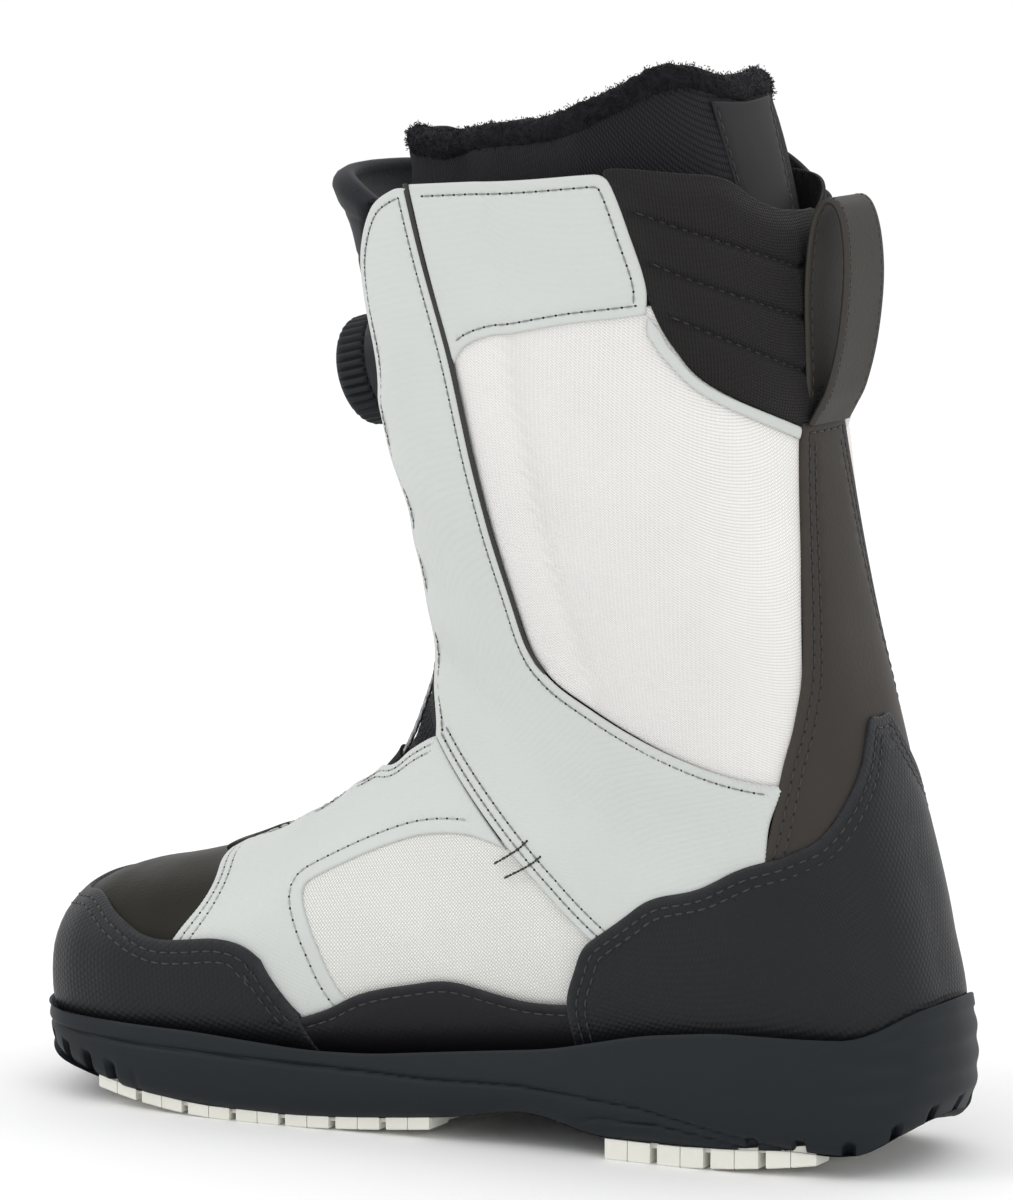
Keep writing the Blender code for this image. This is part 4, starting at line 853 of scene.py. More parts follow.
class Look:
    """A Principled material with small helpers for procedural nodes."""

    def __init__(self, name, colour, roughness, **sockets):
        self.material = bpy.data.materials.new(name)
        self.material.use_nodes = True
        self.tree = self.material.node_tree
        self.shader = self.tree.nodes["Principled BSDF"]
        self.shader.inputs["Base Color"].default_value = (*colour, 1.0)
        self.shader.inputs["Roughness"].default_value = roughness
        for key, value in sockets.items():
            self.shader.inputs[key.replace("_", " ")].default_value = value
        self.bump = None

    def node(self, kind, **settings):
        """Add a node and set its properties."""
        node = self.tree.nodes.new(kind)
        for key, value in settings.items():
            setattr(node, key, value)
        return node

    def link(self, source, target):
        """Link two sockets."""
        self.tree.links.new(source, target)

    def math(self, operation, a, b=None, clamp=False):
        """Add a math node fed by sockets or numbers."""
        node = self.node("ShaderNodeMath", operation=operation, use_clamp=clamp)
        for socket, value in zip(node.inputs, (a, b)):
            if value is None:
                continue
            if isinstance(value, (int, float)):
                socket.default_value = value
            else:
                self.link(value, socket)
        return node.outputs[0]

    def cloth(self):
        """Return the metric coordinates of the piece."""
        return self.node("ShaderNodeAttribute", attribute_name="cloth").outputs["Vector"]

    def place(self):
        """Return the object coordinates."""
        return self.node("ShaderNodeTexCoord").outputs["Object"]

    def axes(self, vector):
        """Split a vector."""
        split = self.node("ShaderNodeSeparateXYZ")
        self.link(vector, split.inputs[0])
        return split.outputs[0], split.outputs[1], split.outputs[2]

    def noise(self, scale, detail=4.0, vector=None, roughness=0.55):
        """Return fractal noise in 0..1."""
        node = self.node("ShaderNodeTexNoise")
        node.inputs["Scale"].default_value = scale
        node.inputs["Detail"].default_value = detail
        node.inputs["Roughness"].default_value = roughness
        self.link(vector or self.place(), node.inputs["Vector"])
        return node.outputs["Fac"]

    def cells(self, scale, vector=None):
        """Return cell distances."""
        node = self.node("ShaderNodeTexVoronoi")
        node.inputs["Scale"].default_value = scale
        self.link(vector or self.place(), node.inputs["Vector"])
        return node.outputs["Distance"]

    def blend_colours(self, factor, low, high):
        """Return a ramp that mixes two colours by a factor."""
        ramp = self.node("ShaderNodeValToRGB")
        ramp.color_ramp.elements[0].color = (*low, 1.0)
        ramp.color_ramp.elements[1].color = (*high, 1.0)
        self.link(factor, ramp.inputs[0])
        return ramp

    def paint(self, factor, low, high, start=0.0, end=1.0):
        """Colour the piece from low to high by a factor that runs between start and end."""
        ramp = self.blend_colours(factor, low, high)
        ramp.color_ramp.elements[0].position = start
        ramp.color_ramp.elements[1].position = end
        self.set_colour(ramp.outputs[0])

    def set_colour(self, output):
        """Feed the base colour."""
        self.link(output, self.shader.inputs["Base Color"])

    def set_roughness(self, factor, low, high):
        """Let the roughness vary between two values."""
        span = self.math("MULTIPLY_ADD", factor, high - low)
        span.node.inputs[2].default_value = low
        self.link(span, self.shader.inputs["Roughness"])

    def add_bump(self, height, distance, strength=1.0):
        """Add a height to the shading normal."""
        bump = self.node("ShaderNodeBump")
        bump.inputs["Strength"].default_value = strength
        bump.inputs["Distance"].default_value = distance
        self.link(height, bump.inputs["Height"])
        if self.bump is not None:
            self.link(self.bump, bump.inputs["Normal"])
        self.bump = bump.outputs["Normal"]
        self.link(self.bump, self.shader.inputs["Normal"])

    def dots(self, pitch):
        """Return a regular pattern of round bumps in 0..1."""
        x, y, _ = self.axes(self.cloth())
        k = 4 * math.pi / (math.sqrt(3) * pitch)
        total = None
        for angle in (90.0, 30.0, -30.0):
            a = math.radians(angle)
            phase = self.math("ADD", self.math("MULTIPLY", x, k * math.cos(a)),
                              self.math("MULTIPLY", y, k * math.sin(a)))
            wave = self.math("COSINE", phase)
            total = wave if total is None else self.math("ADD", total, wave)
        return self.math("MULTIPLY", self.math("ADD", total, 1.5), 1 / 4.5, clamp=True)

    def weave(self, pitch, stretch=1.0, angle=0.0):
        """Return yarn height in 0..1 and a warp-or-weft sign of a plain weave."""
        x, y, _ = self.axes(self.cloth())
        c, s = math.cos(math.radians(angle)), math.sin(math.radians(angle))
        k = math.pi / pitch
        across = self.math("SINE", self.math("ADD", self.math("MULTIPLY", x, k * c),
                                             self.math("MULTIPLY", y, k * s)))
        along = self.math("SINE", self.math("ADD", self.math("MULTIPLY", x, -k * s / stretch),
                                            self.math("MULTIPLY", y, k * c / stretch)))
        product = self.math("MULTIPLY", across, along)
        return self.math("POWER", self.math("ABSOLUTE", product), 0.55), self.math("SIGN", product)


def tint(colour, factor):
    """Scale a colour."""
    return tuple(min(1.0, c * factor) for c in colour)


def edge_wear(look, output, colour, amount):
    """Shift a colour near the edges of a piece."""
    edge = look.node("ShaderNodeAttribute", attribute_name="edge").outputs["Fac"]
    factor = look.math("MULTIPLY", edge, look.noise(260.0), clamp=True)
    mix = look.node("ShaderNodeMix", data_type="RGBA")
    look.link(look.math("MULTIPLY", factor, amount, clamp=True), mix.inputs["Factor"])
    look.link(output, mix.inputs[6])
    mix.inputs[7].default_value = (*colour, 1.0)
    look.set_colour(mix.outputs[2])


def leather(name, colour, roughness, pitch, emboss, wear, wear_amount=0.7, sheen=0.0, specular=0.5):
    """Coated leather with a regular emboss, fine pores and faint clouding."""
    look = Look(name, colour, roughness, Sheen_Weight=sheen, Specular_IOR_Level=specular)
    ramp = look.blend_colours(look.noise(22.0, 5.0), tint(colour, 0.94), tint(colour, 1.05))
    edge_wear(look, ramp.outputs[0], wear, wear_amount)
    look.set_roughness(look.noise(90.0), roughness - 0.07, roughness + 0.08)
    look.add_bump(look.dots(pitch), emboss)
    look.add_bump(look.noise(1400.0, 2.0), 0.05 * MM, 0.6)
    look.add_bump(look.noise(60.0, 3.0), 0.25 * MM, 0.35)
    return look.material


def plain_leather(name, colour, roughness, wear, wear_amount, grain=900.0, specular=0.30):
    """Smooth leather with an irregular grain."""
    look = Look(name, colour, roughness, Specular_IOR_Level=specular)
    ramp = look.blend_colours(look.noise(16.0, 6.0), tint(colour, 0.82), tint(colour, 1.22))
    edge_wear(look, ramp.outputs[0], wear, wear_amount)
    look.set_roughness(look.noise(45.0), roughness - 0.08, roughness + 0.10)
    look.add_bump(look.cells(grain), 0.10 * MM, 0.6)
    look.add_bump(look.noise(40.0, 4.0), 0.30 * MM, 0.4)
    return look.material


def woven(name, low, high, pitch, stretch, angle, depth, roughness=0.8, sheen=0.02):
    """Plain woven cloth: yarn colour on the yarn tops, painted shade darkening the gaps, warp a little
    brighter than weft.
    """
    look = Look(name, high, roughness, Sheen_Weight=sheen, Sheen_Roughness=0.5, Specular_IOR_Level=0.2)
    height, sign = look.weave(pitch, stretch, angle)
    shade = look.math("ADD", height, look.math("MULTIPLY", sign, 0.10))
    cloud = look.noise(30.0, 3.0)
    shade = look.math("ADD", shade, look.math("MULTIPLY", look.math("SUBTRACT", cloud, 0.5), 0.25))
    # The colour follows the yarn height, so the gaps between yarns get painted shade.
    look.paint(shade, low, high, 0.05, 0.85)
    look.add_bump(height, depth)
    look.add_bump(look.noise(2200.0, 2.0), 0.05 * MM, 0.5)
    return look.material


def knit(name, low, high, pitch):
    """Warp knit: short upright loops in staggered columns."""
    look = Look(name, high, 0.85, Sheen_Weight=0.03, Sheen_Roughness=0.4, Specular_IOR_Level=0.2)
    height, _ = look.weave(pitch, 2.2, 0.0)
    # The colour follows the loop height, so the gaps between the loops get painted shade.
    look.paint(height, low, high)
    look.add_bump(height, 0.35 * MM)
    look.add_bump(look.noise(1500.0, 2.0), 0.08 * MM, 0.5)
    return look.material


def pile(name, colour):
    """Short pile: deep noise with a soft sheen."""
    look = Look(name, colour, 0.95, Sheen_Weight=0.05, Sheen_Roughness=0.35, Specular_IOR_Level=0.15)
    look.paint(look.noise(420.0, 5.0), tint(colour, 0.45), tint(colour, 1.9), 0.3, 0.75)
    look.add_bump(look.noise(700.0, 6.0), 0.7 * MM)
    return look.material


def rubber(name, colour, roughness, grain=0.06 * MM, scale=1100.0):
    """Moulded rubber with a fine matte grain."""
    look = Look(name, colour, roughness, Specular_IOR_Level=0.22)
    look.paint(look.noise(25.0, 5.0), tint(colour, 0.88), tint(colour, 1.12))
    look.set_roughness(look.noise(60.0), roughness - 0.06, roughness + 0.08)
    look.add_bump(look.noise(scale, 3.0), grain, 0.7)
    return look.material


def thread(name, colour):
    """Twisted sewing thread."""
    look = Look(name, colour, 0.7, Sheen_Weight=0.2)
    look.paint(look.noise(1800.0, 2.0), tint(colour, 0.75), tint(colour, 1.2))
    look.add_bump(look.noise(2500.0, 2.0), 0.06 * MM)
    return look.material


def metal(name, colour, roughness):
    """Drawn wire or turned metal."""
    look = Look(name, colour, roughness, Metallic=0.9)
    look.set_roughness(look.noise(300.0), roughness - 0.08, roughness + 0.1)
    look.add_bump(look.noise(1600.0, 2.0), 0.03 * MM)
    return look.material


def make_looks():
    """Return every material of the boot."""
    return {
        "pale": leather("pale_leather", (0.545, 0.568, 0.550), 0.52, 1.25 * MM, 0.060 * MM,
                        (0.46, 0.47, 0.44), 0.45, specular=0.4),
        "window": woven("pale_woven", (0.46, 0.46, 0.44), (0.80, 0.80, 0.77), 0.80 * MM, 1.0, 38.0,
                        0.16 * MM),
        # A lighter copy of the pale woven fabric for the cuff windows: its extra brightness is painted light.
        "cuff_window": woven("pale_woven_painted_lighter", (0.60, 0.59, 0.575), (0.92, 0.90, 0.88), 0.80 * MM, 1.0, 38.0,
                             0.16 * MM),
        "guard": leather("black_coated", (0.0085, 0.0092, 0.0115), 0.46, 1.75 * MM, 0.13 * MM,
                         (0.045, 0.047, 0.053), 0.8, specular=0.22),
        "rand": leather("black_rand", (0.0085, 0.0082, 0.0110), 0.48, 1.75 * MM, 0.05 * MM,
                        (0.045, 0.047, 0.053), 0.8, specular=0.20),
        "toe": plain_leather("toe_box_leather", (0.016, 0.015, 0.011), 0.46, (0.04, 0.04, 0.03), 0.6,
                             specular=0.08),
        "stay": plain_leather("backstay_leather", (0.036, 0.031, 0.027), 0.52, (0.07, 0.06, 0.05), 0.6,
                              specular=0.14),
        "strap": plain_leather("strap_leather", (0.040, 0.036, 0.032), 0.55, (0.02, 0.02, 0.02), 0.9,
                               specular=0.18),
        "collar": woven("collar_cloth", (0.002, 0.002, 0.002), (0.017, 0.015, 0.015), 0.90 * MM, 1.0, 0.0,
                        0.25 * MM, 0.7, 0.05),
        "knit": knit("liner_knit", (0.002, 0.002, 0.0025), (0.018, 0.018, 0.023), 1.0 * MM),
        "pile": pile("liner_pile", (0.0078, 0.0074, 0.0098)),
        "lining": woven("lining_cloth", (0.01, 0.01, 0.01), (0.03, 0.03, 0.03), 1.0 * MM, 1.0, 0.0, 0.1 * MM),
        "tongue": plain_leather("tongue_skin", (0.009, 0.010, 0.013), 0.55, (0.03, 0.03, 0.04), 0.5, 700.0,
                                specular=0.12),
        "gaiter": woven("gaiter_cloth", (0.004, 0.004, 0.005), (0.028, 0.030, 0.034), 1.1 * MM, 1.0, 0.0,
                        0.3 * MM),
        "strip": plain_leather("reveal_strip", (0.022, 0.022, 0.020), 0.6, (0.06, 0.06, 0.06), 0.5),
        "webbing": woven("guide_webbing", (0.006, 0.006, 0.007), (0.040, 0.040, 0.042), 0.9 * MM, 1.0, 0.0,
                         0.2 * MM),
        "label": rubber("label_plain", (0.012, 0.012, 0.013), 0.6, 0.03 * MM),
        "sole": rubber("sole_rubber", (0.0085, 0.0115, 0.0145), 0.54),
        "tread": rubber("tread_rubber", (0.74, 0.735, 0.67), 0.60, 0.08 * MM, 700.0),
        "dial": rubber("dial_plastic", (0.012, 0.014, 0.017), 0.38, 0.03 * MM, 1500.0),
        "dial_grip": rubber("dial_grip", (0.010, 0.011, 0.013), 0.55, 0.05 * MM, 1500.0),
        "board": woven("fibre_board", (0.30, 0.25, 0.18), (0.5, 0.43, 0.32), 1.5 * MM, 1.0, 45.0, 0.05 * MM),
        "cable": metal("lace_steel", (0.22, 0.22, 0.23), 0.38),
        "screw": metal("screw_steel", (0.5, 0.5, 0.5), 0.3),
        # Near-black colour of the needle-hole ovals: painted shade.
        "hole": Look("needle_hole_shade", (0.004, 0.004, 0.004), 0.9).material,
        "pale_thread": thread("pale_thread", (0.36, 0.38, 0.36)),
        "grey_thread": thread("grey_thread", (0.20, 0.21, 0.21)),
        "black_thread": thread("black_thread", (0.024, 0.024, 0.027)),
    }


# ---- uppers ---------------------------------------------------------------------------------


def flap_relief(u, v, d):
    """Waves along the free front edge of the flap and slack above the ankle."""
    a = np.abs(wrapped(v))
    front = np.exp(-((a - 0.20) / 0.07)**2)
    waves = 0.55 * MM * np.sin(u * 92.0 + 1.3) * front
    slack = 0.45 * MM * np.sin(u * 60.0 - a * 26.0) * np.exp(-((u - 0.53) / 0.05)**2)
    return (waves + slack) * np.clip(d / (3 * MM), 0.2, 1.0)


def vamp_relief(u, v, _):
    """Small puckers along the laced edge."""
    a = np.abs(wrapped(v))
    near = np.exp(-((a - 0.10) / 0.08)**2)
    return 0.35 * MM * np.sin(u * 120.0) * near


def toe_relief(u, v, _):
    """The toe box fills out towards the toe cap's edge."""
    a = np.abs(wrapped(v))
    front = np.clip((0.105 - u) / 0.05, 0, 1) * np.clip((0.45 - a) / 0.1, 0, 1)
    return 1.4 * MM * front


def counter_relief(u, v, d):
    """A soft moulded swell over the heel."""
    a = np.abs(wrapped(v))
    return 0.9 * MM * np.exp(-((u - 0.53) / 0.05)**2 - ((a - 0.86) / 0.14)**2) * np.clip(d / (6 * MM), 0, 1)


def make_upper(looks):
    """Make the panels of the shell with their stitching."""
    for tag, side in (("medial", -1), ("lateral", 1)):
        make_foot_side(tag, side, looks)
        make_cuff_side(tag, side, looks)
        make_bartack(tag, side, looks)
    make_toe(looks)
    make_heel(looks)
    make_collar(looks)


def make_foot_side(tag, side, looks):
    """Make one side's vamp, its fabric window and the rand."""
    window = Panel(f"vamp_cloth_{tag}", on_side(VAMP_WINDOW, side), FABRIC, "ankle", looks["window"],
                   puff=0.5 * MM, puff_reach=12 * MM)
    window.finish(f"vamp_window_{tag}", slot="pale_woven")
    vamp = Panel(f"vamp_skin_{tag}", on_side(VAMP, side), VAMP_LAYER, "ankle", looks["pale"],
                 stitched={0: (2.4, 4.6), 2: (4.4,), 5: (2.4, 5.0)}, relief=vamp_relief)
    vamp.finish(f"vamp_{tag}", slot="pale_leather")
    vamp.stitch(looks, "pale_thread")
    rand = Panel(f"rand_skin_{tag}", on_side(RAND, side), (0.0034, 0.0044), "foot", looks["rand"],
                 stitched={0: (3.0,)})
    rand.finish(f"rand_{tag}", slot="black_coated")
    rand.stitch(looks, "black_thread")


def make_cuff_side(tag, side, looks):
    """Make one side's flap, cuff window, reveal strip, top patch and window hem."""
    # The cuff window takes the lighter copy of the pale woven fabric, whose extra brightness is painted
    # light.
    cloth = Panel(f"cuff_cloth_{tag}", on_side(WINDOW, side), FABRIC, "ankle",
                  looks["cuff_window"], puff=0.7 * MM, puff_reach=15 * MM)
    cloth.finish(f"cuff_window_{tag}", slot="pale_woven")
    flap = Panel(f"flap_skin_{tag}", on_side(QUARTER, side), FLAP_LAYER, "ankle", looks["pale"],
                 stitched={0: (3.0,), 1: (2.4, 5.2), 4: (2.6,)}, relief=flap_relief)
    flap.finish(f"quarter_{tag}", slot="pale_leather")
    flap.stitch(looks, "grey_thread")
    strip = Panel(f"reveal_strip_{tag}", on_side(PIPING, side), (0.0024, 0.0034), "ankle", looks["strip"],
                  grid=1.5 * MM, roll=0.5 * MM)
    strip.finish(f"piping_{tag}", slot="grey_strip")
    patch = Panel(f"top_patch_skin_{tag}", on_side(TOP_PATCH, side), PATCH_LAYER, "cuff", looks["pale"],
                  stitched={1: (3.0,), 2: (3.6,)})
    patch.finish(f"top_patch_{tag}", slot="pale_leather")
    patch.stitch(looks, "grey_thread")
    hem = Panel(f"window_hem_{tag}", on_side(HEM, side), (0.0022, 0.0034), "cuff", looks["pale"],
                grid=1.5 * MM)
    hem.finish(slot="pale_leather")


def make_toe(looks):
    """Make the toe box, the toe cap and the tab at the throat's front end."""
    toe = Panel("toe_box_skin", close_front(TOE_BOX), FABRIC, "foot", looks["toe"], polar=True,
                puff=0.8 * MM, puff_reach=12 * MM, relief=toe_relief)
    toe.finish("toe_box", slot="black_grained")
    cap = Panel("toe_cap_skin", close_front(TOE_CAP), GUARD_LAYER, "foot", looks["guard"], polar=True,
                stitched={0: (3.4, 6.2)})
    cap.finish("toe_cap", slot="black_coated")
    cap.stitch(looks, "black_thread")
    tab = Panel("throat_tab", close_front(THROAT_TAB), (0.0012, 0.0034), "foot", looks["toe"], grid=1.5 * MM,
                stitched={1: (1.4,)})
    tab.finish(slot="black_grained")
    tab.stitch(looks, "black_thread")


def make_heel(looks):
    """Make the backstay and the heel counter."""
    stay = Panel("backstay_skin", close_back(BACKSTAY), STAY_LAYER, "ankle", looks["stay"],
                 stitched={0: (3.0,), 1: (3.0, 5.6)})
    stay.finish("backstay", slot="black_grained")
    stay.stitch(looks, "black_thread")
    counter = Panel("heel_counter_skin", close_back(COUNTER), GUARD_LAYER, "ankle", looks["guard"],
                    stitched={0: (3.4, 6.2)}, relief=counter_relief)
    counter.finish("heel_counter", slot="black_coated")
    counter.stitch(looks, "black_thread")


def make_collar(looks):
    """Make the quilted collar and the shell's lining."""
    quilting = [both_sides(line) for line in QUILT_LINES]
    collar = Panel("collar_pad", collar_outline(), (0.0006, 0.0026), "cuff", looks["collar"],
                   puff=2.4 * MM, puff_reach=4 * MM, grid=2.6 * MM,
                   channels=quilting)
    inflate(collar, 4.0, 1.5 * MM)
    collar.finish("collar", slot="black_cloth")
    sew("collar_quilting", quilting, upper_surface, 0.0031, "cuff", looks, "black_thread", pitch=3.4 * MM)
    lining = Panel("shell_lining", lining_outline(), LINING, "ankle", looks["lining"], grid=4 * MM,
                   roll=0.6 * MM, polar=True)
    lining.finish("foot_shell", "ankle_gusset", "cuff_shell", slot="black_cloth")


def collar_outline():
    """Outline of the collar, its top edge a little lower on the lateral rear."""
    curves = close_back(COLLAR)
    for curve, _ in curves:
        u, v = curve[:, 0], curve[:, 1]
        share = np.clip((0.985 - v) / 0.06, 0.0, 1.0) * np.clip((v - 0.66) / 0.12, 0.0, 1.0)
        curve[:, 0] -= COLLAR_DIP * share * np.clip((u - 0.86) / 0.03, 0.0, 1.0)
    return curves


def both_sides(line):
    """Return a seam round the back line as one curve."""
    curve = bend(line)
    return np.vstack([curve, curve[::-1] * (1, -1) + (0, 2)])


def lining_outline():
    """Outline of the shell lining: from the throat up the cuff's front edge and round the top."""
    half = [[(0.165, 0.0), (0.165, 0.11)],
            [(0.240, 0.100), (0.290, 0.125), (0.345, 0.195), (0.424, 0.262)],
            [(0.530, 0.235), (0.700, 0.245), (0.765, 0.262), (0.835, 0.285), (0.888, 0.385)],
            [(0.895, 0.420), (0.906, 0.530), (0.910, 0.650), (0.908, 0.835), (0.890, 1.0)]]
    return close_front(half)


def make_bartack(tag, side, looks):
    """Sew the crossed reinforcement over the seam of flap and vamp."""
    lines = []
    for a in (0.440, 0.462):
        lines.append(bend([(0.411, side * (a + 0.006)), (0.452, side * (a - 0.006))]))
    sew(f"bartack_{tag}", lines, upper_surface, FLAP_LAYER[1] + 0.1 * MM, "ankle", looks, "black_thread",
        pitch=2.4 * MM, radius=0.42 * MM)


# ---- tongue, liner -----------------------------------------------------------------------------


def tongue_surface(u, v, depth):
    """The shin tongue lies just inside the flaps and bulges forward at its top."""
    a = np.abs(wrapped(v))
    bulge = 4.0 * MM * np.exp(-((u - 0.893) / 0.020)**2) * np.exp(-(a / 0.3)**4)
    return upper_surface(u, v, depth + bulge)


def gaiter_relief(u, v, _):
    """Ribs across the lower tongue, which bulges where the ankle bends."""
    a = np.abs(wrapped(v))
    bulge = 0.8 * MM * np.exp(-((u - 0.445) / 0.055)**2 - (a / 0.16)**4)
    return bulge + 0.7 * MM * np.sin(u * 2 * math.pi / 0.0095) * np.clip((u - 0.30) / 0.05, 0, 1)


def make_tongue(looks):
    """Make the shin tongue, the ribbed lower tongue and the lace guides."""
    upper = Panel("tongue_pad", close_front(TONGUE_UPPER), (-0.0085, -0.0012), "shin", looks["tongue"],
                  surface=tongue_surface, puff=0.4 * MM, puff_reach=6 * MM, roll=4.0 * MM,
                  channels=[bend([(0.872, -0.25), (0.877, 0.0), (0.872, 0.25)]),
                            bend([(0.840, -0.22), (0.840, 0.22)]), bend([(0.690, -0.17), (0.690, 0.17)])])
    inflate(upper, 4.0, 0.6 * MM)
    upper.finish("tongue_upper", slot="tongue_skin")
    lower = Panel("tongue_gaiter", close_front(TONGUE_LOWER), (-0.0034, -0.0008), "ankle", looks["gaiter"],
                  relief=gaiter_relief, grid=1.5 * MM)
    lower.finish("tongue_lower", "tongue_flex", slot="tongue_skin")
    for tag, side in (("medial", -1), ("lateral", 1)):
        for part, u, a, place, base in (("fore", 0.224, 0.068, "foot", -0.0006),
                                        ("vamp", 0.331, 0.142, "foot", -0.0006),
                                        ("ankle", 0.560, 0.130, "shin", -0.0018),
                                        ("top", 0.652, 0.132, "shin", -0.0018)):
            make_guide(f"{part}_{tag}", u, side * a, base, place, looks["webbing"])


def make_guide(tag, u, v, base, place, material):
    """Make a short webbing tube that holds the cable."""
    centre, out = spot(u, v, base)
    along = unit(spot(u + 0.004, v, base)[0] - centre)
    across = np.cross(out, along)
    points, faces = [], []
    count, rings = 16, 9
    for k in range(rings):
        s = k / (rings - 1) - 0.5
        flare = 1.0 + 0.35 * (2 * abs(s))**4
        for r in (GUIDE_RADIUS * flare, (GUIDE_RADIUS - GUIDE_WALL) * flare):
            for angle in turn(count):
                oval = math.cos(angle) * across * GUIDE_WIDTH + math.sin(angle) * out
                points.append(centre + out * (GUIDE_RADIUS * 0.9) + along * s * GUIDE_LENGTH + r * oval)
    size = 2 * count
    for k in range(rings - 1):
        for j in range(count):
            n = (j + 1) % count
            a, b = k * size, (k + 1) * size
            faces.append([a + j, a + n, b + n, b + j])
            faces.append([a + count + n, a + count + j, b + count + j, b + count + n])
    for k, flip in ((0, False), (rings - 1, True)):
        for j in range(count):
            n = (j + 1) % count
            quad = [k * size + j, k * size + count + j, k * size + count + n, k * size + n]
            faces.append(list(reversed(quad)) if flip else quad)
    obj = add_mesh(f"lace_guide_{tag}", points, faces, materials=[material])
    recalc(obj)
    settle(obj, place, "webbing", f"guide_{tag}")


def dip(u, v):
    """Return the drop of the liner's top edge on the lateral side."""
    share = np.clip((LATERAL_DIP_END - v) / LATERAL_DIP_FADE, 0.0, 1.0)
    return np.where(u > 0.90, LATERAL_DIP * share, 0.0)


def band_outline(low, high):
    """Outline of a wall round the back between two edges of (a, u)."""
    top = [(u, a) for a, u in reversed(high)]
    bottom = [(u, a) for a, u in low]
    runs = [top, bottom[:1], bottom[1:]]
    curves = close_back(runs)
    for curve, _ in curves:
        curve[:, 0] -= dip(curve[:, 0], curve[:, 1])
    return curves


def liner_relief(u, v, _):
    """Soft unevenness of the quilted liner."""
    return 0.5 * MM * np.sin(u * 70.0) * np.sin(v * 18.0)


def make_liner(looks):
    """Make the liner: knitted cuff, tongue, pile rim, label, sock and footbed."""
    low = [(0.150, 0.560), (0.260, 0.560), (0.500, 0.560), (0.750, 0.600), (1.0, 0.640)]
    cuff = Panel("liner_cuff_knit", band_outline(low, LINER_TOP), (-0.0060, 0.0006), "cuff", looks["knit"],
                 surface=liner_surface, grid=4 * MM, roll=2.4 * MM, puff=0.8 * MM, relief=liner_relief)
    inflate(cuff, 2.0, 0.8 * MM)
    cuff.finish("liner_cuff", slot="liner_knit")
    tongue_half = [[(0.922, 0.0), (0.921, 0.06), (0.918, 0.118)], [(0.560, 0.118)], [(0.560, 0.0)]]
    tongue = Panel("liner_tongue_knit", close_front(tongue_half), (-0.0060, 0.0004), "cuff", looks["knit"],
                   surface=liner_surface, grid=4 * MM, roll=2.4 * MM, puff=0.8 * MM)
    tongue.finish("liner_tongue", slot="liner_knit")
    label_half = [[(0.953, 1.0), (0.955, 0.915)],
                  [(0.930, 0.920), (0.905, 0.926), (0.893, 0.932), (0.885, 0.944), (0.882, 0.960),
                   (0.881, 1.0)]]
    label = Panel("liner_label_plain", close_back(label_half), (0.0010, 0.0021), "cuff", looks["label"],
                  surface=liner_surface, grid=2 * MM, roll=0.7 * MM, stitched={1: (1.6,)})
    label.finish("liner_label", slot="label")
    label.stitch(looks, "black_thread")
    sock_half = [[(0.575, 0.0), (0.575, 0.50), (0.590, 0.75), (0.650, 1.0)]]
    sock = Panel("liner_sock", close_front(sock_half), (-0.0060, 0.0), "ankle", looks["knit"],
                 surface=liner_surface, grid=5 * MM, roll=1.5 * MM, polar=True)
    sock.finish("liner_foot", "liner_ankle", slot="liner_knit")
    bed_half = [[(0.070, 1.0), (0.070, 0.87), (0.120, 0.85), (0.420, 0.85), (0.440, 0.90), (0.446, 1.0)]]
    bed = Panel("footbed_pad", close_back(bed_half), (-0.0100, -0.0066), "foot", looks["gaiter"],
                surface=liner_surface, grid=4 * MM, roll=1.2 * MM)
    bed.finish("footbed", slot="footbed_cloth")
    make_rim(looks)


def rim_path(count=220):
    """Return the middle line of the pile rim and its outward directions."""
    a = np.array([p[0] for p in LINER_TOP])
    u = np.array([p[1] for p in LINER_TOP])
    v = np.linspace(0.125, 1.875, count)
    half = np.where(v <= 1.0, v, 2.0 - v)
    height = np.interp(half, a, u)
    kernel = np.ones(15) / 15
    smooth = np.convolve(np.pad(height, 7, mode="edge"), kernel, mode="valid")
    smooth -= dip(smooth, v)
    p = liner_surface(smooth + 0.004, v, np.full(count, -0.0028))
    q = liner_surface(smooth + 0.004, v, np.full(count, 0.0028))
    up = liner_surface(smooth + 0.010, v, np.full(count, -0.0028)) - p
    return p, unit(up), unit(q - p)


def make_rim(looks):
    """Roll a pile rim over the liner's top edge, with tufts standing out of it."""
    path, up, out = rim_path()
    rng = np.random.default_rng(7)
    sides = 22
    count = len(path)
    points, normals = [], []
    for k in range(count):
        end = min(k, count - 1 - k)
        taper = math.sqrt(min(1.0, (end + 0.15) / 5.0))
        for j, angle in enumerate(turn(sides)):
            direction = math.cos(angle) * out[k] + math.sin(angle) * up[k]
            lump = 1.0 + 0.04 * math.sin(k * 0.35 + j * 0.9) + 0.05 * rng.standard_normal()
            oval = math.hypot(RIM_HALF_WIDTH * math.cos(angle), RIM_HALF_HEIGHT * math.sin(angle))
            points.append(path[k] + direction * (oval * MM * lump * taper))
            normals.append(direction)
    faces = closed_stack(count, sides)
    rim = add_mesh("liner_pile_rim", points, faces, sharp=180.0, materials=[looks["pile"]])
    recalc(rim)
    settle(rim, "cuff", "pile", "pile_rim")
    make_tufts("liner_pile_tufts", np.array(points), np.array(normals), rng, looks["pile"])


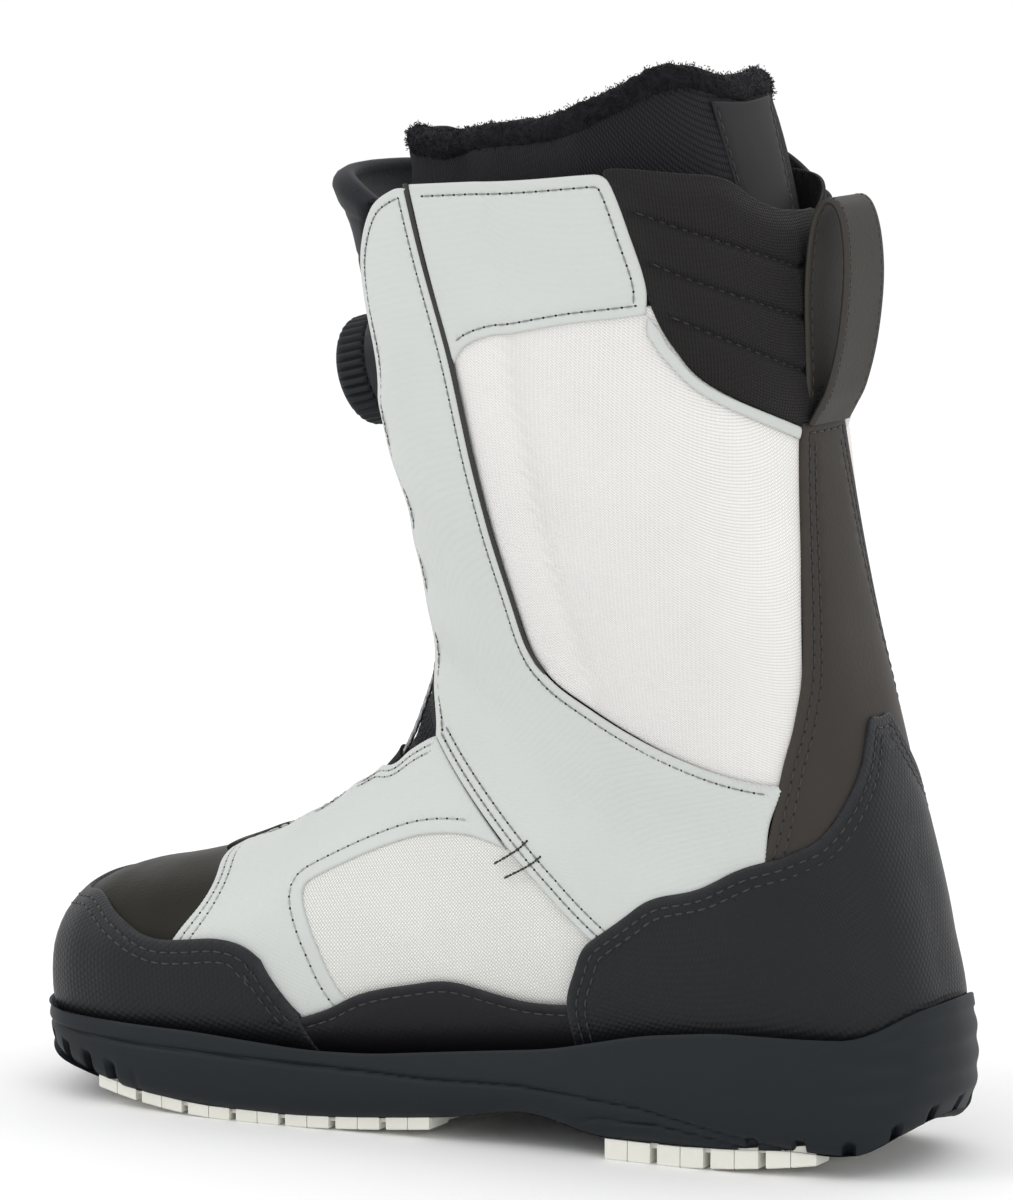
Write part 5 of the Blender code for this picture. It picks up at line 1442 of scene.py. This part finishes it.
def make_tufts(name, points, normals, rng, material):
    """Stand short bent tufts on a surface."""
    chosen = rng.integers(0, len(points), TUFT_COUNT)
    verts, faces = [], []
    for i in chosen:
        spread = rng.normal(0.0, 0.55 * MM, 3)
        lean = rng.normal(0.0, 0.55, 3)
        direction = unit(normals[i] + lean)
        side = unit(np.cross(direction, rng.normal(0, 1, 3)), 1e-9)
        other = np.cross(direction, side)
        root = points[i] + spread - normals[i] * 0.3 * MM
        length = rng.uniform(0.5, 1.0) * MM
        first = len(verts)
        for angle in turn(3):
            verts.append(root + 0.22 * MM * (math.cos(angle) * side + math.sin(angle) * other))
        verts.append(root + direction * length)
        faces += [[first, first + 1, first + 3], [first + 1, first + 2, first + 3],
                  [first + 2, first, first + 3], [first + 2, first + 1, first]]
    tufts = add_mesh(name, verts, faces, sharp=180.0, materials=[material])
    settle(tufts, "cuff", "pile")


# ---- sole ------------------------------------------------------------------------------------


def sole_outline(count):
    """Return the sole plan outline as a closed ring of points."""
    half = SOLE_LENGTH / 2
    nodes = [(-half, SOLE_TOE_Y)]
    nodes += [(x, lateral) for x, _, lateral in SOLE_PLAN]
    nodes += [(half, 0.0)]
    nodes += [(x, medial) for x, medial, _ in reversed(SOLE_PLAN)]
    p = np.array(nodes)
    size = len(p)
    dense = np.vstack([span(p[i - 1], p[i], p[(i + 1) % size], p[(i + 2) % size], 24) for i in range(size)])
    closed = np.vstack([dense, dense[:1]])
    along = lengths(closed)
    ring = read_at(np.linspace(0, along[-1], count, endpoint=False), along, closed)
    ring[:, 0] = (ring[:, 0] - ring[:, 0].min()) / (ring[:, 0].max() - ring[:, 0].min())
    ring[:, 0] = ring[:, 0] * SOLE_LENGTH - half
    return ring


def plan_normals(ring):
    """Return inward directions of a plan ring."""
    ahead = np.roll(ring, -1, axis=0) - np.roll(ring, 1, axis=0)
    normal = unit(np.stack([-ahead[:, 1], ahead[:, 0]], 1))
    if np.sum((ring.mean(axis=0) - ring) * normal) < 0:
        normal = -normal
    return normal


def table(rows, x):
    """Read a height table at each x, smoothed over its corners."""
    at = np.array([r[0] for r in rows])
    value = np.array([r[1] for r in rows])
    total = np.zeros_like(x)
    for shift in (-6.0, -3.0, 0.0, 3.0, 6.0):
        total += np.interp(x + shift * MM, at, value)
    return total / 5


def groove(z, line, width):
    """Return a groove profile round a height line."""
    return np.exp(-((z - line) / width)**2)


def sidewall_relief(x, z, low, high):
    """Moulded grooves and steps of the sole's side wall, in metres inwards."""
    share = (z - low) / (high - low)
    upper_line = np.interp(x, [-0.16, -0.10, 0.0, 0.03, 0.07, 0.115, 0.16],
                           [0.0225, 0.0212, 0.0190, 0.0200, 0.0170, 0.0085, 0.0030])
    lower_line = np.interp(x, [0.04, 0.055, 0.075, 0.095, 0.110], [0.0095, 0.0125, 0.0125, 0.0095, 0.0060])
    depth = 1.3 * MM * groove(z, upper_line, 0.8 * MM)
    depth += 0.5 * MM * np.clip((upper_line - z) / (1.5 * MM), 0, 1) * (x < 0.115)
    in_lower = np.clip((x - 0.045) / 0.01, 0, 1) * np.clip((0.112 - x) / 0.01, 0, 1)
    depth += 1.1 * MM * groove(z, lower_line, 0.7 * MM) * in_lower
    heel = np.clip((x - 0.125) / 0.02, 0, 1)
    depth += 0.6 * MM * heel * 0.5 * (1 + np.sin(z * 2 * math.pi / 0.0085 + 0.8)) * (share < 0.9)
    return depth


def lug_cuts(along, x, z, low):
    """Notches of the lugs on the toe and heel rims, in metres inwards."""
    toe = np.clip((-0.098 - x) / 0.012, 0, 1)
    heel = np.clip((x - 0.098) / 0.012, 0, 1)
    toe_wave = np.clip(3.0 * np.sin(along * 2 * math.pi / 0.0105) - 1.0, 0, 1)
    heel_wave = np.clip(5.0 * np.sin(along * 2 * math.pi / 0.0150) - 3.4, 0, 1)
    toe_lugs = toe * toe_wave * np.clip((low + 0.0080 - z) / 0.003, 0, 1)
    heel_lugs = heel * heel_wave * np.clip((low + 0.0050 - z) / 0.002, 0, 1)
    return 3.0 * MM * np.maximum(toe_lugs, heel_lugs)


def rocker(x):
    """Return how far a pad's underside curves up towards its ends."""
    front = np.clip((-0.072 - x) / 0.046, 0, 1)
    back = np.clip((x + 0.048) / 0.048, 0, 1) * (x < 0.03)
    heel = np.clip((x - 0.080) / 0.045, 0, 1)
    return 6.0 * MM * front**1.6 + 3.2 * MM * back**1.6 + 4.2 * MM * heel**1.5


def make_sole(looks):
    """Make the cup sole with its side grooves, toe and heel lugs, and lip."""
    count = SOLE_RING
    ring = sole_outline(count)
    normal = plan_normals(ring)
    x = ring[:, 0]
    steps = np.linalg.norm(np.roll(ring, -1, axis=0) - ring, axis=1)
    along = np.concatenate([[0], np.cumsum(steps)[:-1]])
    low, high = table(SOLE_BOTTOM, x), table(SOLE_TOP, x)
    rings = []

    def add(inset, z):
        rings.append(np.column_stack([ring + normal * np.asarray(inset)[:, None], z]))

    for inset, lift in ((0.016, 0.0), (0.006, 0.0), (0.0030, 0.0001)):
        add(np.full(count, inset), low + lift)
    for t in np.linspace(0.0, 1.0, SOLE_LEVELS):
        z = low + (high - low) * t
        foot = 0.0028 * np.exp(-t * 9.0)
        swell = 0.0008 * math.sin(math.pi * t)
        toe = np.clip((-0.105 - x) / 0.045, 0, 1)
        inset = foot - swell + 0.0012 * t**3 + sidewall_relief(x, z, low, high) + toe * (0.0044 - 0.0030 * t)
        add(inset + lug_cuts(along, x, z, low), z)
    for inset, lift in ((0.0016, 0.0004), (0.0024, 0.0002), (0.0034, -0.0014), (0.0080, -0.0060),
                        (0.0160, -0.0100)):
        add(np.full(count, inset), high + lift)
    faces = ring_faces(len(rings), count)
    obj = add_mesh("sole_cup_rubber", np.vstack(rings), faces, sharp=38.0, materials=[looks["sole"]])
    cap_ends(obj, count, len(rings))
    settle(obj, "foot", "sole_rubber", "sole_cup")


def cap_ends(obj, count, rings):
    """Close both ends of a ring stack with flat fills."""
    bm = bmesh.new()
    bm.from_mesh(obj.data)
    bm.verts.ensure_lookup_table()
    for start in (0, (rings - 1) * count):
        edges = []
        for i in range(count):
            edge = bm.edges.get((bm.verts[start + i], bm.verts[start + (i + 1) % count]))
            edges.append(edge)
        bmesh.ops.triangle_fill(bm, edges=edges, use_beauty=True)
    bmesh.ops.recalc_face_normals(bm, faces=bm.faces[:])
    for face in bm.faces:
        face.smooth = True
    bm.to_mesh(obj.data)
    bm.free()
    obj.data.set_sharp_from_angle(angle=math.radians(38.0))


def tread_block(points, faces, corners, low, high, bevel=0.4 * MM):
    """Add one bevelled lug, a prism on a plan polygon that follows the rocker."""
    corners = np.array(corners)
    centre = corners.mean(axis=0)
    size = len(corners)
    first = len(points)
    pull = corners + (centre - corners) / np.linalg.norm(corners - centre, axis=1, keepdims=True) * bevel
    for plan, z in ((corners, high), (corners, low + bevel), (pull, low)):
        points += [(x, y, z + float(rocker(x))) for x, y in plan]
    faces += ring_faces(3, size, first)
    faces.append([first + i for i in range(size)])
    faces.append([first + 2 * size + i for i in reversed(range(size))])


def pad_sides(x_from, x_to, inset):
    """Return the lateral and medial edges of a pad, each sorted along the sole."""
    ring = sole_outline(720)
    ring = ring + plan_normals(ring) * inset
    ring = ring[(ring[:, 0] > x_from) & (ring[:, 0] < x_to)]
    sides = (ring[ring[:, 1] > 0], ring[ring[:, 1] <= 0])
    return [side[np.argsort(side[:, 0])] for side in sides]


def rim_lugs(points, faces, side, sign, x_from, step, count, high):
    """Add the lugs along one edge of a pad, each cut across by a narrow sipe."""
    for k in range(count):
        deep = 9.0 * MM if k % 2 else 12.0 * MM
        for start, end in ((0.06, 0.485), (0.50, 0.92)):
            x0, x1 = x_from + (k + start) * step, x_from + (k + end) * step
            y0, y1 = (float(np.interp(x, side[:, 0], side[:, 1])) for x in (x0, x1))
            corners = [(x0, y0), (x1, y1)]
            corners += [(x1 - 0.3 * MM, y1 - sign * deep), (x0 + 0.3 * MM, y0 - sign * deep)]
            if sign > 0:
                corners.reverse()
            tread_block(points, faces, corners, 0.0, high)


def inner_lugs(points, faces, lateral, medial, x_from, step, count, high):
    """Add three columns of slanted lugs between the rim lugs."""
    for k in range(count):
        x0, x1 = x_from + (k + 0.12) * step, x_from + (k + 0.84) * step
        middle = (x0 + x1) / 2
        y_lat = float(np.interp(middle, lateral[:, 0], lateral[:, 1])) - 15.0 * MM
        y_med = float(np.interp(middle, medial[:, 0], medial[:, 1])) + 15.0 * MM
        for n in range(3):
            a = y_med + (y_lat - y_med) * (n + 0.06) / 3
            b = y_med + (y_lat - y_med) * (n + 0.94) / 3
            shift = 1.5 * MM * (1 - abs(n - 1) * 2)
            corners = [(x0 + shift, a), (x1 + shift, a), (x1 - shift, b), (x0 - shift, b)]
            tread_block(points, faces, corners, 0.0, high)


def make_tread(name, node, x_from, x_to, top, edge, looks):
    """Make a tread pad: a base plate with rim lugs, sipes and inner lugs."""
    lateral, medial = pad_sides(x_from, x_to, edge)
    plate_lateral, plate_medial = pad_sides(x_from + 1.0 * MM, x_to - 1.0 * MM, edge + 1.4 * MM)
    base = top - PLATE_THICKNESS
    length = x_to - x_from
    points, faces = [], []
    tread_block(points, faces, np.vstack([plate_lateral[::6], plate_medial[::-1][::6]]), base, top, 0.3 * MM)
    count = int(length / RIM_LUG_PITCH)
    for side, sign in ((lateral, 1.0), (medial, -1.0)):
        rim_lugs(points, faces, side, sign, x_from, length / count, count, top - 0.2 * MM)
    count = int(length / INNER_LUG_PITCH)
    inner_lugs(points, faces, lateral, medial, x_from, length / count, count, base + 0.1 * MM)
    obj = add_mesh(name, points, faces, sharp=30.0, materials=[looks["tread"]])
    recalc(obj)
    settle(obj, "foot", "tread_rubber", node)


# ---- closure -----------------------------------------------------------------------------


def dial_matrix():
    """Return the frame of the closure dial, Z pointing out of the tongue."""
    centre, out = spot(DIAL_U, 0.0)
    z = Vector((out[0], 0.0, out[2])).normalized()
    y = Vector((0.0, 1.0, 0.0))
    m = Matrix((y.cross(z).normalized(), y, z)).transposed().to_4x4()
    m.translation = Vector(centre)
    return m


def turned(name, profile, matrix, material, body, node, segments=96, teeth=0, depth=0.0, toothed=(),
           saddle=()):
    """Turn a profile of (r, z) in mm about Z; the listed points carry rounded teeth."""
    points = []
    for n, (r, z) in enumerate(profile):
        for angle in turn(segments):
            cut = 0.0
            if teeth and n in toothed:
                cut = depth * (0.5 - 0.5 * math.cos(angle * teeth))**2
            x, y = (r - cut) * math.cos(angle), (r - cut) * math.sin(angle)
            drop = y * y / 110.0 if n in saddle else 0.0
            points.append(matrix @ Vector((x * MM, y * MM, (z - drop) * MM)))
    faces = ring_faces(len(profile), segments, wrap=True)
    obj = add_mesh(name, points, faces, sharp=42.0, materials=[material])
    recalc(obj)
    settle(obj, body, "dial_plastic", node)


def make_dial(looks):
    """Make the closure dial's base, grip ring and cap."""
    m = dial_matrix()
    base = [(4.0, 0.6), (15.5, 0.6), (18.4, 0.7), (19.0, 1.2), (18.7, 2.2), (17.4, 3.4), (14.2, 3.8),
            (13.6, 3.5), (13.4, 1.5), (4.0, 1.5)]
    turned("dial_base_shell", base, m, looks["dial"], "tongue", "dial_base", saddle=(0, 1, 2, 3))
    grip = [(14.4, 4.2), (15.9, 4.2), (16.6, 4.7), (17.0, 5.6), (17.0, 8.0), (17.0, 11.0), (16.9, 13.0),
            (16.3, 14.2), (15.2, 15.0), (13.4, 15.4), (12.0, 15.3), (11.6, 14.9), (11.6, 14.2),
            (3.0, 14.2), (3.0, 13.3), (14.4, 13.3)]
    turned("dial_grip_ring", grip, m, looks["dial_grip"], "knob", "dial_knob", segments=288, teeth=36,
           depth=1.1, toothed=(2, 3, 4, 5, 6, 7))
    cap = [(0.05, 14.5), (11.3, 14.5), (11.3, 15.1), (10.8, 15.5), (8.6, 15.8), (8.2, 15.5), (7.6, 15.5),
           (7.2, 15.9), (3.0, 16.3), (0.05, 16.35)]
    turned("dial_cap_face", cap, m, looks["dial"], "knob", "dial_cap")


def tube(name, path, radius, place, material, sides=10, twist=0.0):
    """Sweep a round or stranded section along a path."""
    path = np.asarray(path)
    tangent = unit(np.gradient(path, axis=0))
    side = unit(np.cross(tangent[0], (0.0, 0.0, 1.0)))
    points = []
    for k in range(len(path)):
        side = unit(side - tangent[k] * np.dot(side, tangent[k]))
        up = np.cross(tangent[k], side)
        for angle in turn(sides):
            strand = 1.0 + (0.10 * math.cos(5 * angle + twist * k) if twist else 0.0)
            points.append(path[k] + radius * strand * (math.cos(angle) * side + math.sin(angle) * up))
    obj = add_mesh(name, points, closed_stack(len(path), sides), materials=[material])
    recalc(obj)
    attach(obj, place)
    return obj


def make_lace(looks):
    """Lay the lace cable from the dial round the guides and back."""
    down = [(0.695, -0.070, 1.8), (0.678, -0.112, 1.9), (0.664, -0.144, 2.2), (0.650, -0.152, 2.2),
            (0.634, -0.134, 2.3), (0.604, 0.0, 3.0), (0.572, 0.130, 2.2), (0.559, 0.142, 2.2),
            (0.546, 0.128, 2.3), (0.500, 0.040, 3.0), (0.440, -0.045, 4.2), (0.365, -0.170, 5.9),
            (0.345, -0.200, 6.0), (0.330, -0.206, 6.0), (0.315, -0.192, 6.0), (0.272, -0.020, 5.8),
            (0.243, 0.088, 6.0), (0.226, 0.112, 6.0), (0.208, 0.092, 6.0), (0.192, 0.030, 6.0),
            (0.189, 0.0, 6.0)]
    back = [(u, -v, h + (2.2 if abs(v) < 0.05 else 0.0)) for u, v, h in reversed(down[:-2])]
    route = down + [(down[-2][0], -down[-2][1], down[-2][2])] + back
    spots = np.array(route)
    on_vamp = spots[:, 2] > 4.0
    spots[:, 1] *= np.where(on_vamp, VAMP_CLOSE, 1.0)
    spots[:, 2] = np.where(on_vamp, VAMP_HEIGHT + 0.6 * (spots[:, 0] > 0.42), spots[:, 2] - TONGUE_SINK)
    spots = bend(spots, 16)
    path = evenly(upper_surface(spots[:, 0], spots[:, 1] + 1e-6, spots[:, 2] * MM), LACE_POINTS)
    low = path[:, 2] < ANKLE_END[2] + 0.022
    first = int(np.argmax(low))
    last = len(path) - int(np.argmax(low[::-1]))
    pieces = (("lace_upper_medial", path[:first + 1], "shin"), ("lace_lower", path[first:last], "ankle"),
              ("lace_upper_lateral", path[last - 1:], "shin"))
    for name, part, place in pieces:
        obj = tube(name, part, LACE_RADIUS, place, looks["cable"], sides=15, twist=0.8)
    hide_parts("lace_cable")


def loop_path():
    """Side view of the pull loop as (x, z) from its sewn end."""
    line = [(-0.0056, -0.0020), (-0.0042, 0.0030), (-0.0032, 0.0095), (-0.0036, 0.0230), (-0.0038, 0.0400),
            (-0.0024, 0.0560), (0.0010, 0.0632), (0.0052, 0.0622), (0.0080, 0.0540), (0.0088, 0.0400),
            (0.0070, 0.0230), (0.0036, 0.0095), (0.0004, 0.0030), (-0.0022, -0.0015)]
    return evenly(bend(line, 16), 110)


def make_loop(looks):
    """Make the pull loop: a folded strap with rounded, sewn edges."""
    path = loop_path()
    tangent = unit(np.gradient(path, axis=0))
    side = np.stack([tangent[:, 1], -tangent[:, 0]], 1)
    half, thick = LOOP_WIDTH / 2, LOOP_THICKNESS / 2
    section = []
    for t in np.linspace(-1, 1, 25):
        pinch = 0.12 * MM * math.exp(-((abs(t) * half - (half - 2.4 * MM)) / (0.5 * MM))**2)
        round_off = math.sqrt(max(0.0, 1 - max(0.0, (abs(t) * half - (half - thick)) / thick)**2))
        section.append((t * half, thick * max(round_off, 0.05) - pinch))
    ring = section + [(y, -h) for y, h in reversed(section)]
    size = len(ring)
    points = []
    for k in range(len(path)):
        waist = 1.0 - 0.10 * math.exp(-((k / (len(path) - 1) - 0.5) / 0.12)**2)
        for y, h in ring:
            points.append((LOOP_BASE[0] + path[k, 0] + side[k, 0] * h, y * waist,
                           LOOP_BASE[1] + path[k, 1] + side[k, 1] * h))
    loop = add_mesh("pull_loop_strap", points, closed_stack(len(path), size), materials=[looks["strap"]])
    recalc(loop)
    settle(loop, "loop", "webbing", "pull_loop")
    sew_loop(path, side, half, thick, looks)


def sew_loop(path, side, half, thick, looks):
    """Sew both edges of the pull loop, inside and out."""
    along = lengths(path)

    def surface(u, v, depth):
        h = np.sign(v) * (thick + depth)
        xz = read_at(u, along, path) + read_at(u, along, side) * h[:, None] + LOOP_BASE
        waist = 1.0 - 0.10 * np.exp(-((u / along[-1] - 0.5) / 0.12)**2)
        y = (np.abs(v) - 1.0) * waist
        return np.stack([xz[:, 0], y, xz[:, 1]], 1)

    lines = []
    u = np.linspace(0.004, along[-1] - 0.004, 120)
    for face in (-1.0, 1.0):
        for y in (-(half - 2.4 * MM), half - 2.4 * MM):
            lines.append(np.column_stack([u, np.full(len(u), face * (1.0 + y))]))
    sew("pull_loop_stitches", lines, surface, -0.1 * MM, "loop", looks, "black_thread")


def dress_cad_nodes(frame, looks):
    """Give the CAD nodes that stay shown their materials."""
    chosen = {"lasting_board": "board", "dial_spool": "dial", "dial_drive": "dial", "dial_screw": "screw"}
    for node, look in chosen.items():
        mesh = frame["nodes"][node].data
        mesh.materials.clear()
        mesh.materials.append(looks[look])


# ---- stage -------------------------------------------------------------------------------


def make_stage():
    """Make the floor, the lights, the world and the camera."""
    floor = add_mesh("studio_floor", [(-60, -60, 0), (60, -60, 0), (60, 60, 0), (-60, 60, 0)], [[0, 1, 2, 3]])
    look = Look("studio_floor", (0.93, 0.93, 0.93), 0.9)
    look.paint(look.noise(3.0), (0.925, 0.925, 0.925), (0.935, 0.935, 0.935))
    floor.data.materials.append(look.material)
    world = bpy.data.worlds.new("studio")
    world.use_nodes = True
    world.node_tree.nodes["Background"].inputs[0].default_value = (1.0, 1.0, 1.0, 1.0)
    world.node_tree.nodes["Background"].inputs[1].default_value = 1.08
    bpy.context.scene.world = world
    add_light("key", (-1.2, -1.1, 1.5), 0.9, 7.0)
    add_light("side", (1.6, -0.7, 0.7), 0.7, 2.5)
    add_light("back", (0.3, 1.6, 1.3), 0.9, 2.5)
    add_camera()


def add_light(name, location, size, power):
    """Add a soft area light aimed at the boot."""
    light = bpy.data.lights.new(name, "AREA")
    light.shape = "DISK"
    light.size = size
    light.energy = power
    obj = bpy.data.objects.new(name, light)
    obj.location = location
    aim = Vector((0.0, 0.0, 0.15)) - obj.location
    obj.rotation_euler = aim.to_track_quat("-Z", "Y").to_euler()
    bpy.context.scene.collection.objects.link(obj)


def add_camera():
    """Look at the boot's medial rear side from slightly above."""
    azimuth, elevation = math.radians(VIEW_AZIMUTH), math.radians(VIEW_ELEVATION)
    back = Vector((math.sin(azimuth) * math.cos(elevation), -math.cos(azimuth) * math.cos(elevation),
                   math.sin(elevation)))
    data = bpy.data.cameras.new("camera")
    data.sensor_width = 36.0
    data.sensor_fit = "VERTICAL"
    data.sensor_height = 36.0
    data.lens = VIEW_LENS
    camera = bpy.data.objects.new("camera", data)
    camera.location = Vector(VIEW_AIM) + back * VIEW_DISTANCE
    camera.rotation_euler = (-back).to_track_quat("-Z", "Y").to_euler()
    bpy.context.scene.collection.objects.link(camera)
    bpy.context.scene.camera = camera


# ---- the boot ------------------------------------------------------------------------------

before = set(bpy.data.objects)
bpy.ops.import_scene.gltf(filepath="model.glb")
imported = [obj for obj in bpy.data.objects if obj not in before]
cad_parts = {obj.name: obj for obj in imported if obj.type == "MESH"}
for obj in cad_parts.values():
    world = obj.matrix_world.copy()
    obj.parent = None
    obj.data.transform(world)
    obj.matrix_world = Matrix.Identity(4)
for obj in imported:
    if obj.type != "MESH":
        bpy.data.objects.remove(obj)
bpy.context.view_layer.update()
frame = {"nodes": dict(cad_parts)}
looks = make_looks()
bpy.context.scene.view_settings.view_transform = "Standard"
make_stage()
make_sole(looks)
make_tread("forefoot_tread_lugs", "forefoot_tread", *FOREFOOT_PAD, 0.0040, 0.0030, looks)
make_tread("heel_tread_lugs", "heel_tread", *HEEL_PAD, 0.0065, 0.0035, looks)
make_upper(looks)
make_tongue(looks)
make_liner(looks)
make_dial(looks)
make_lace(looks)
make_loop(looks)
dress_cad_nodes(frame, looks)
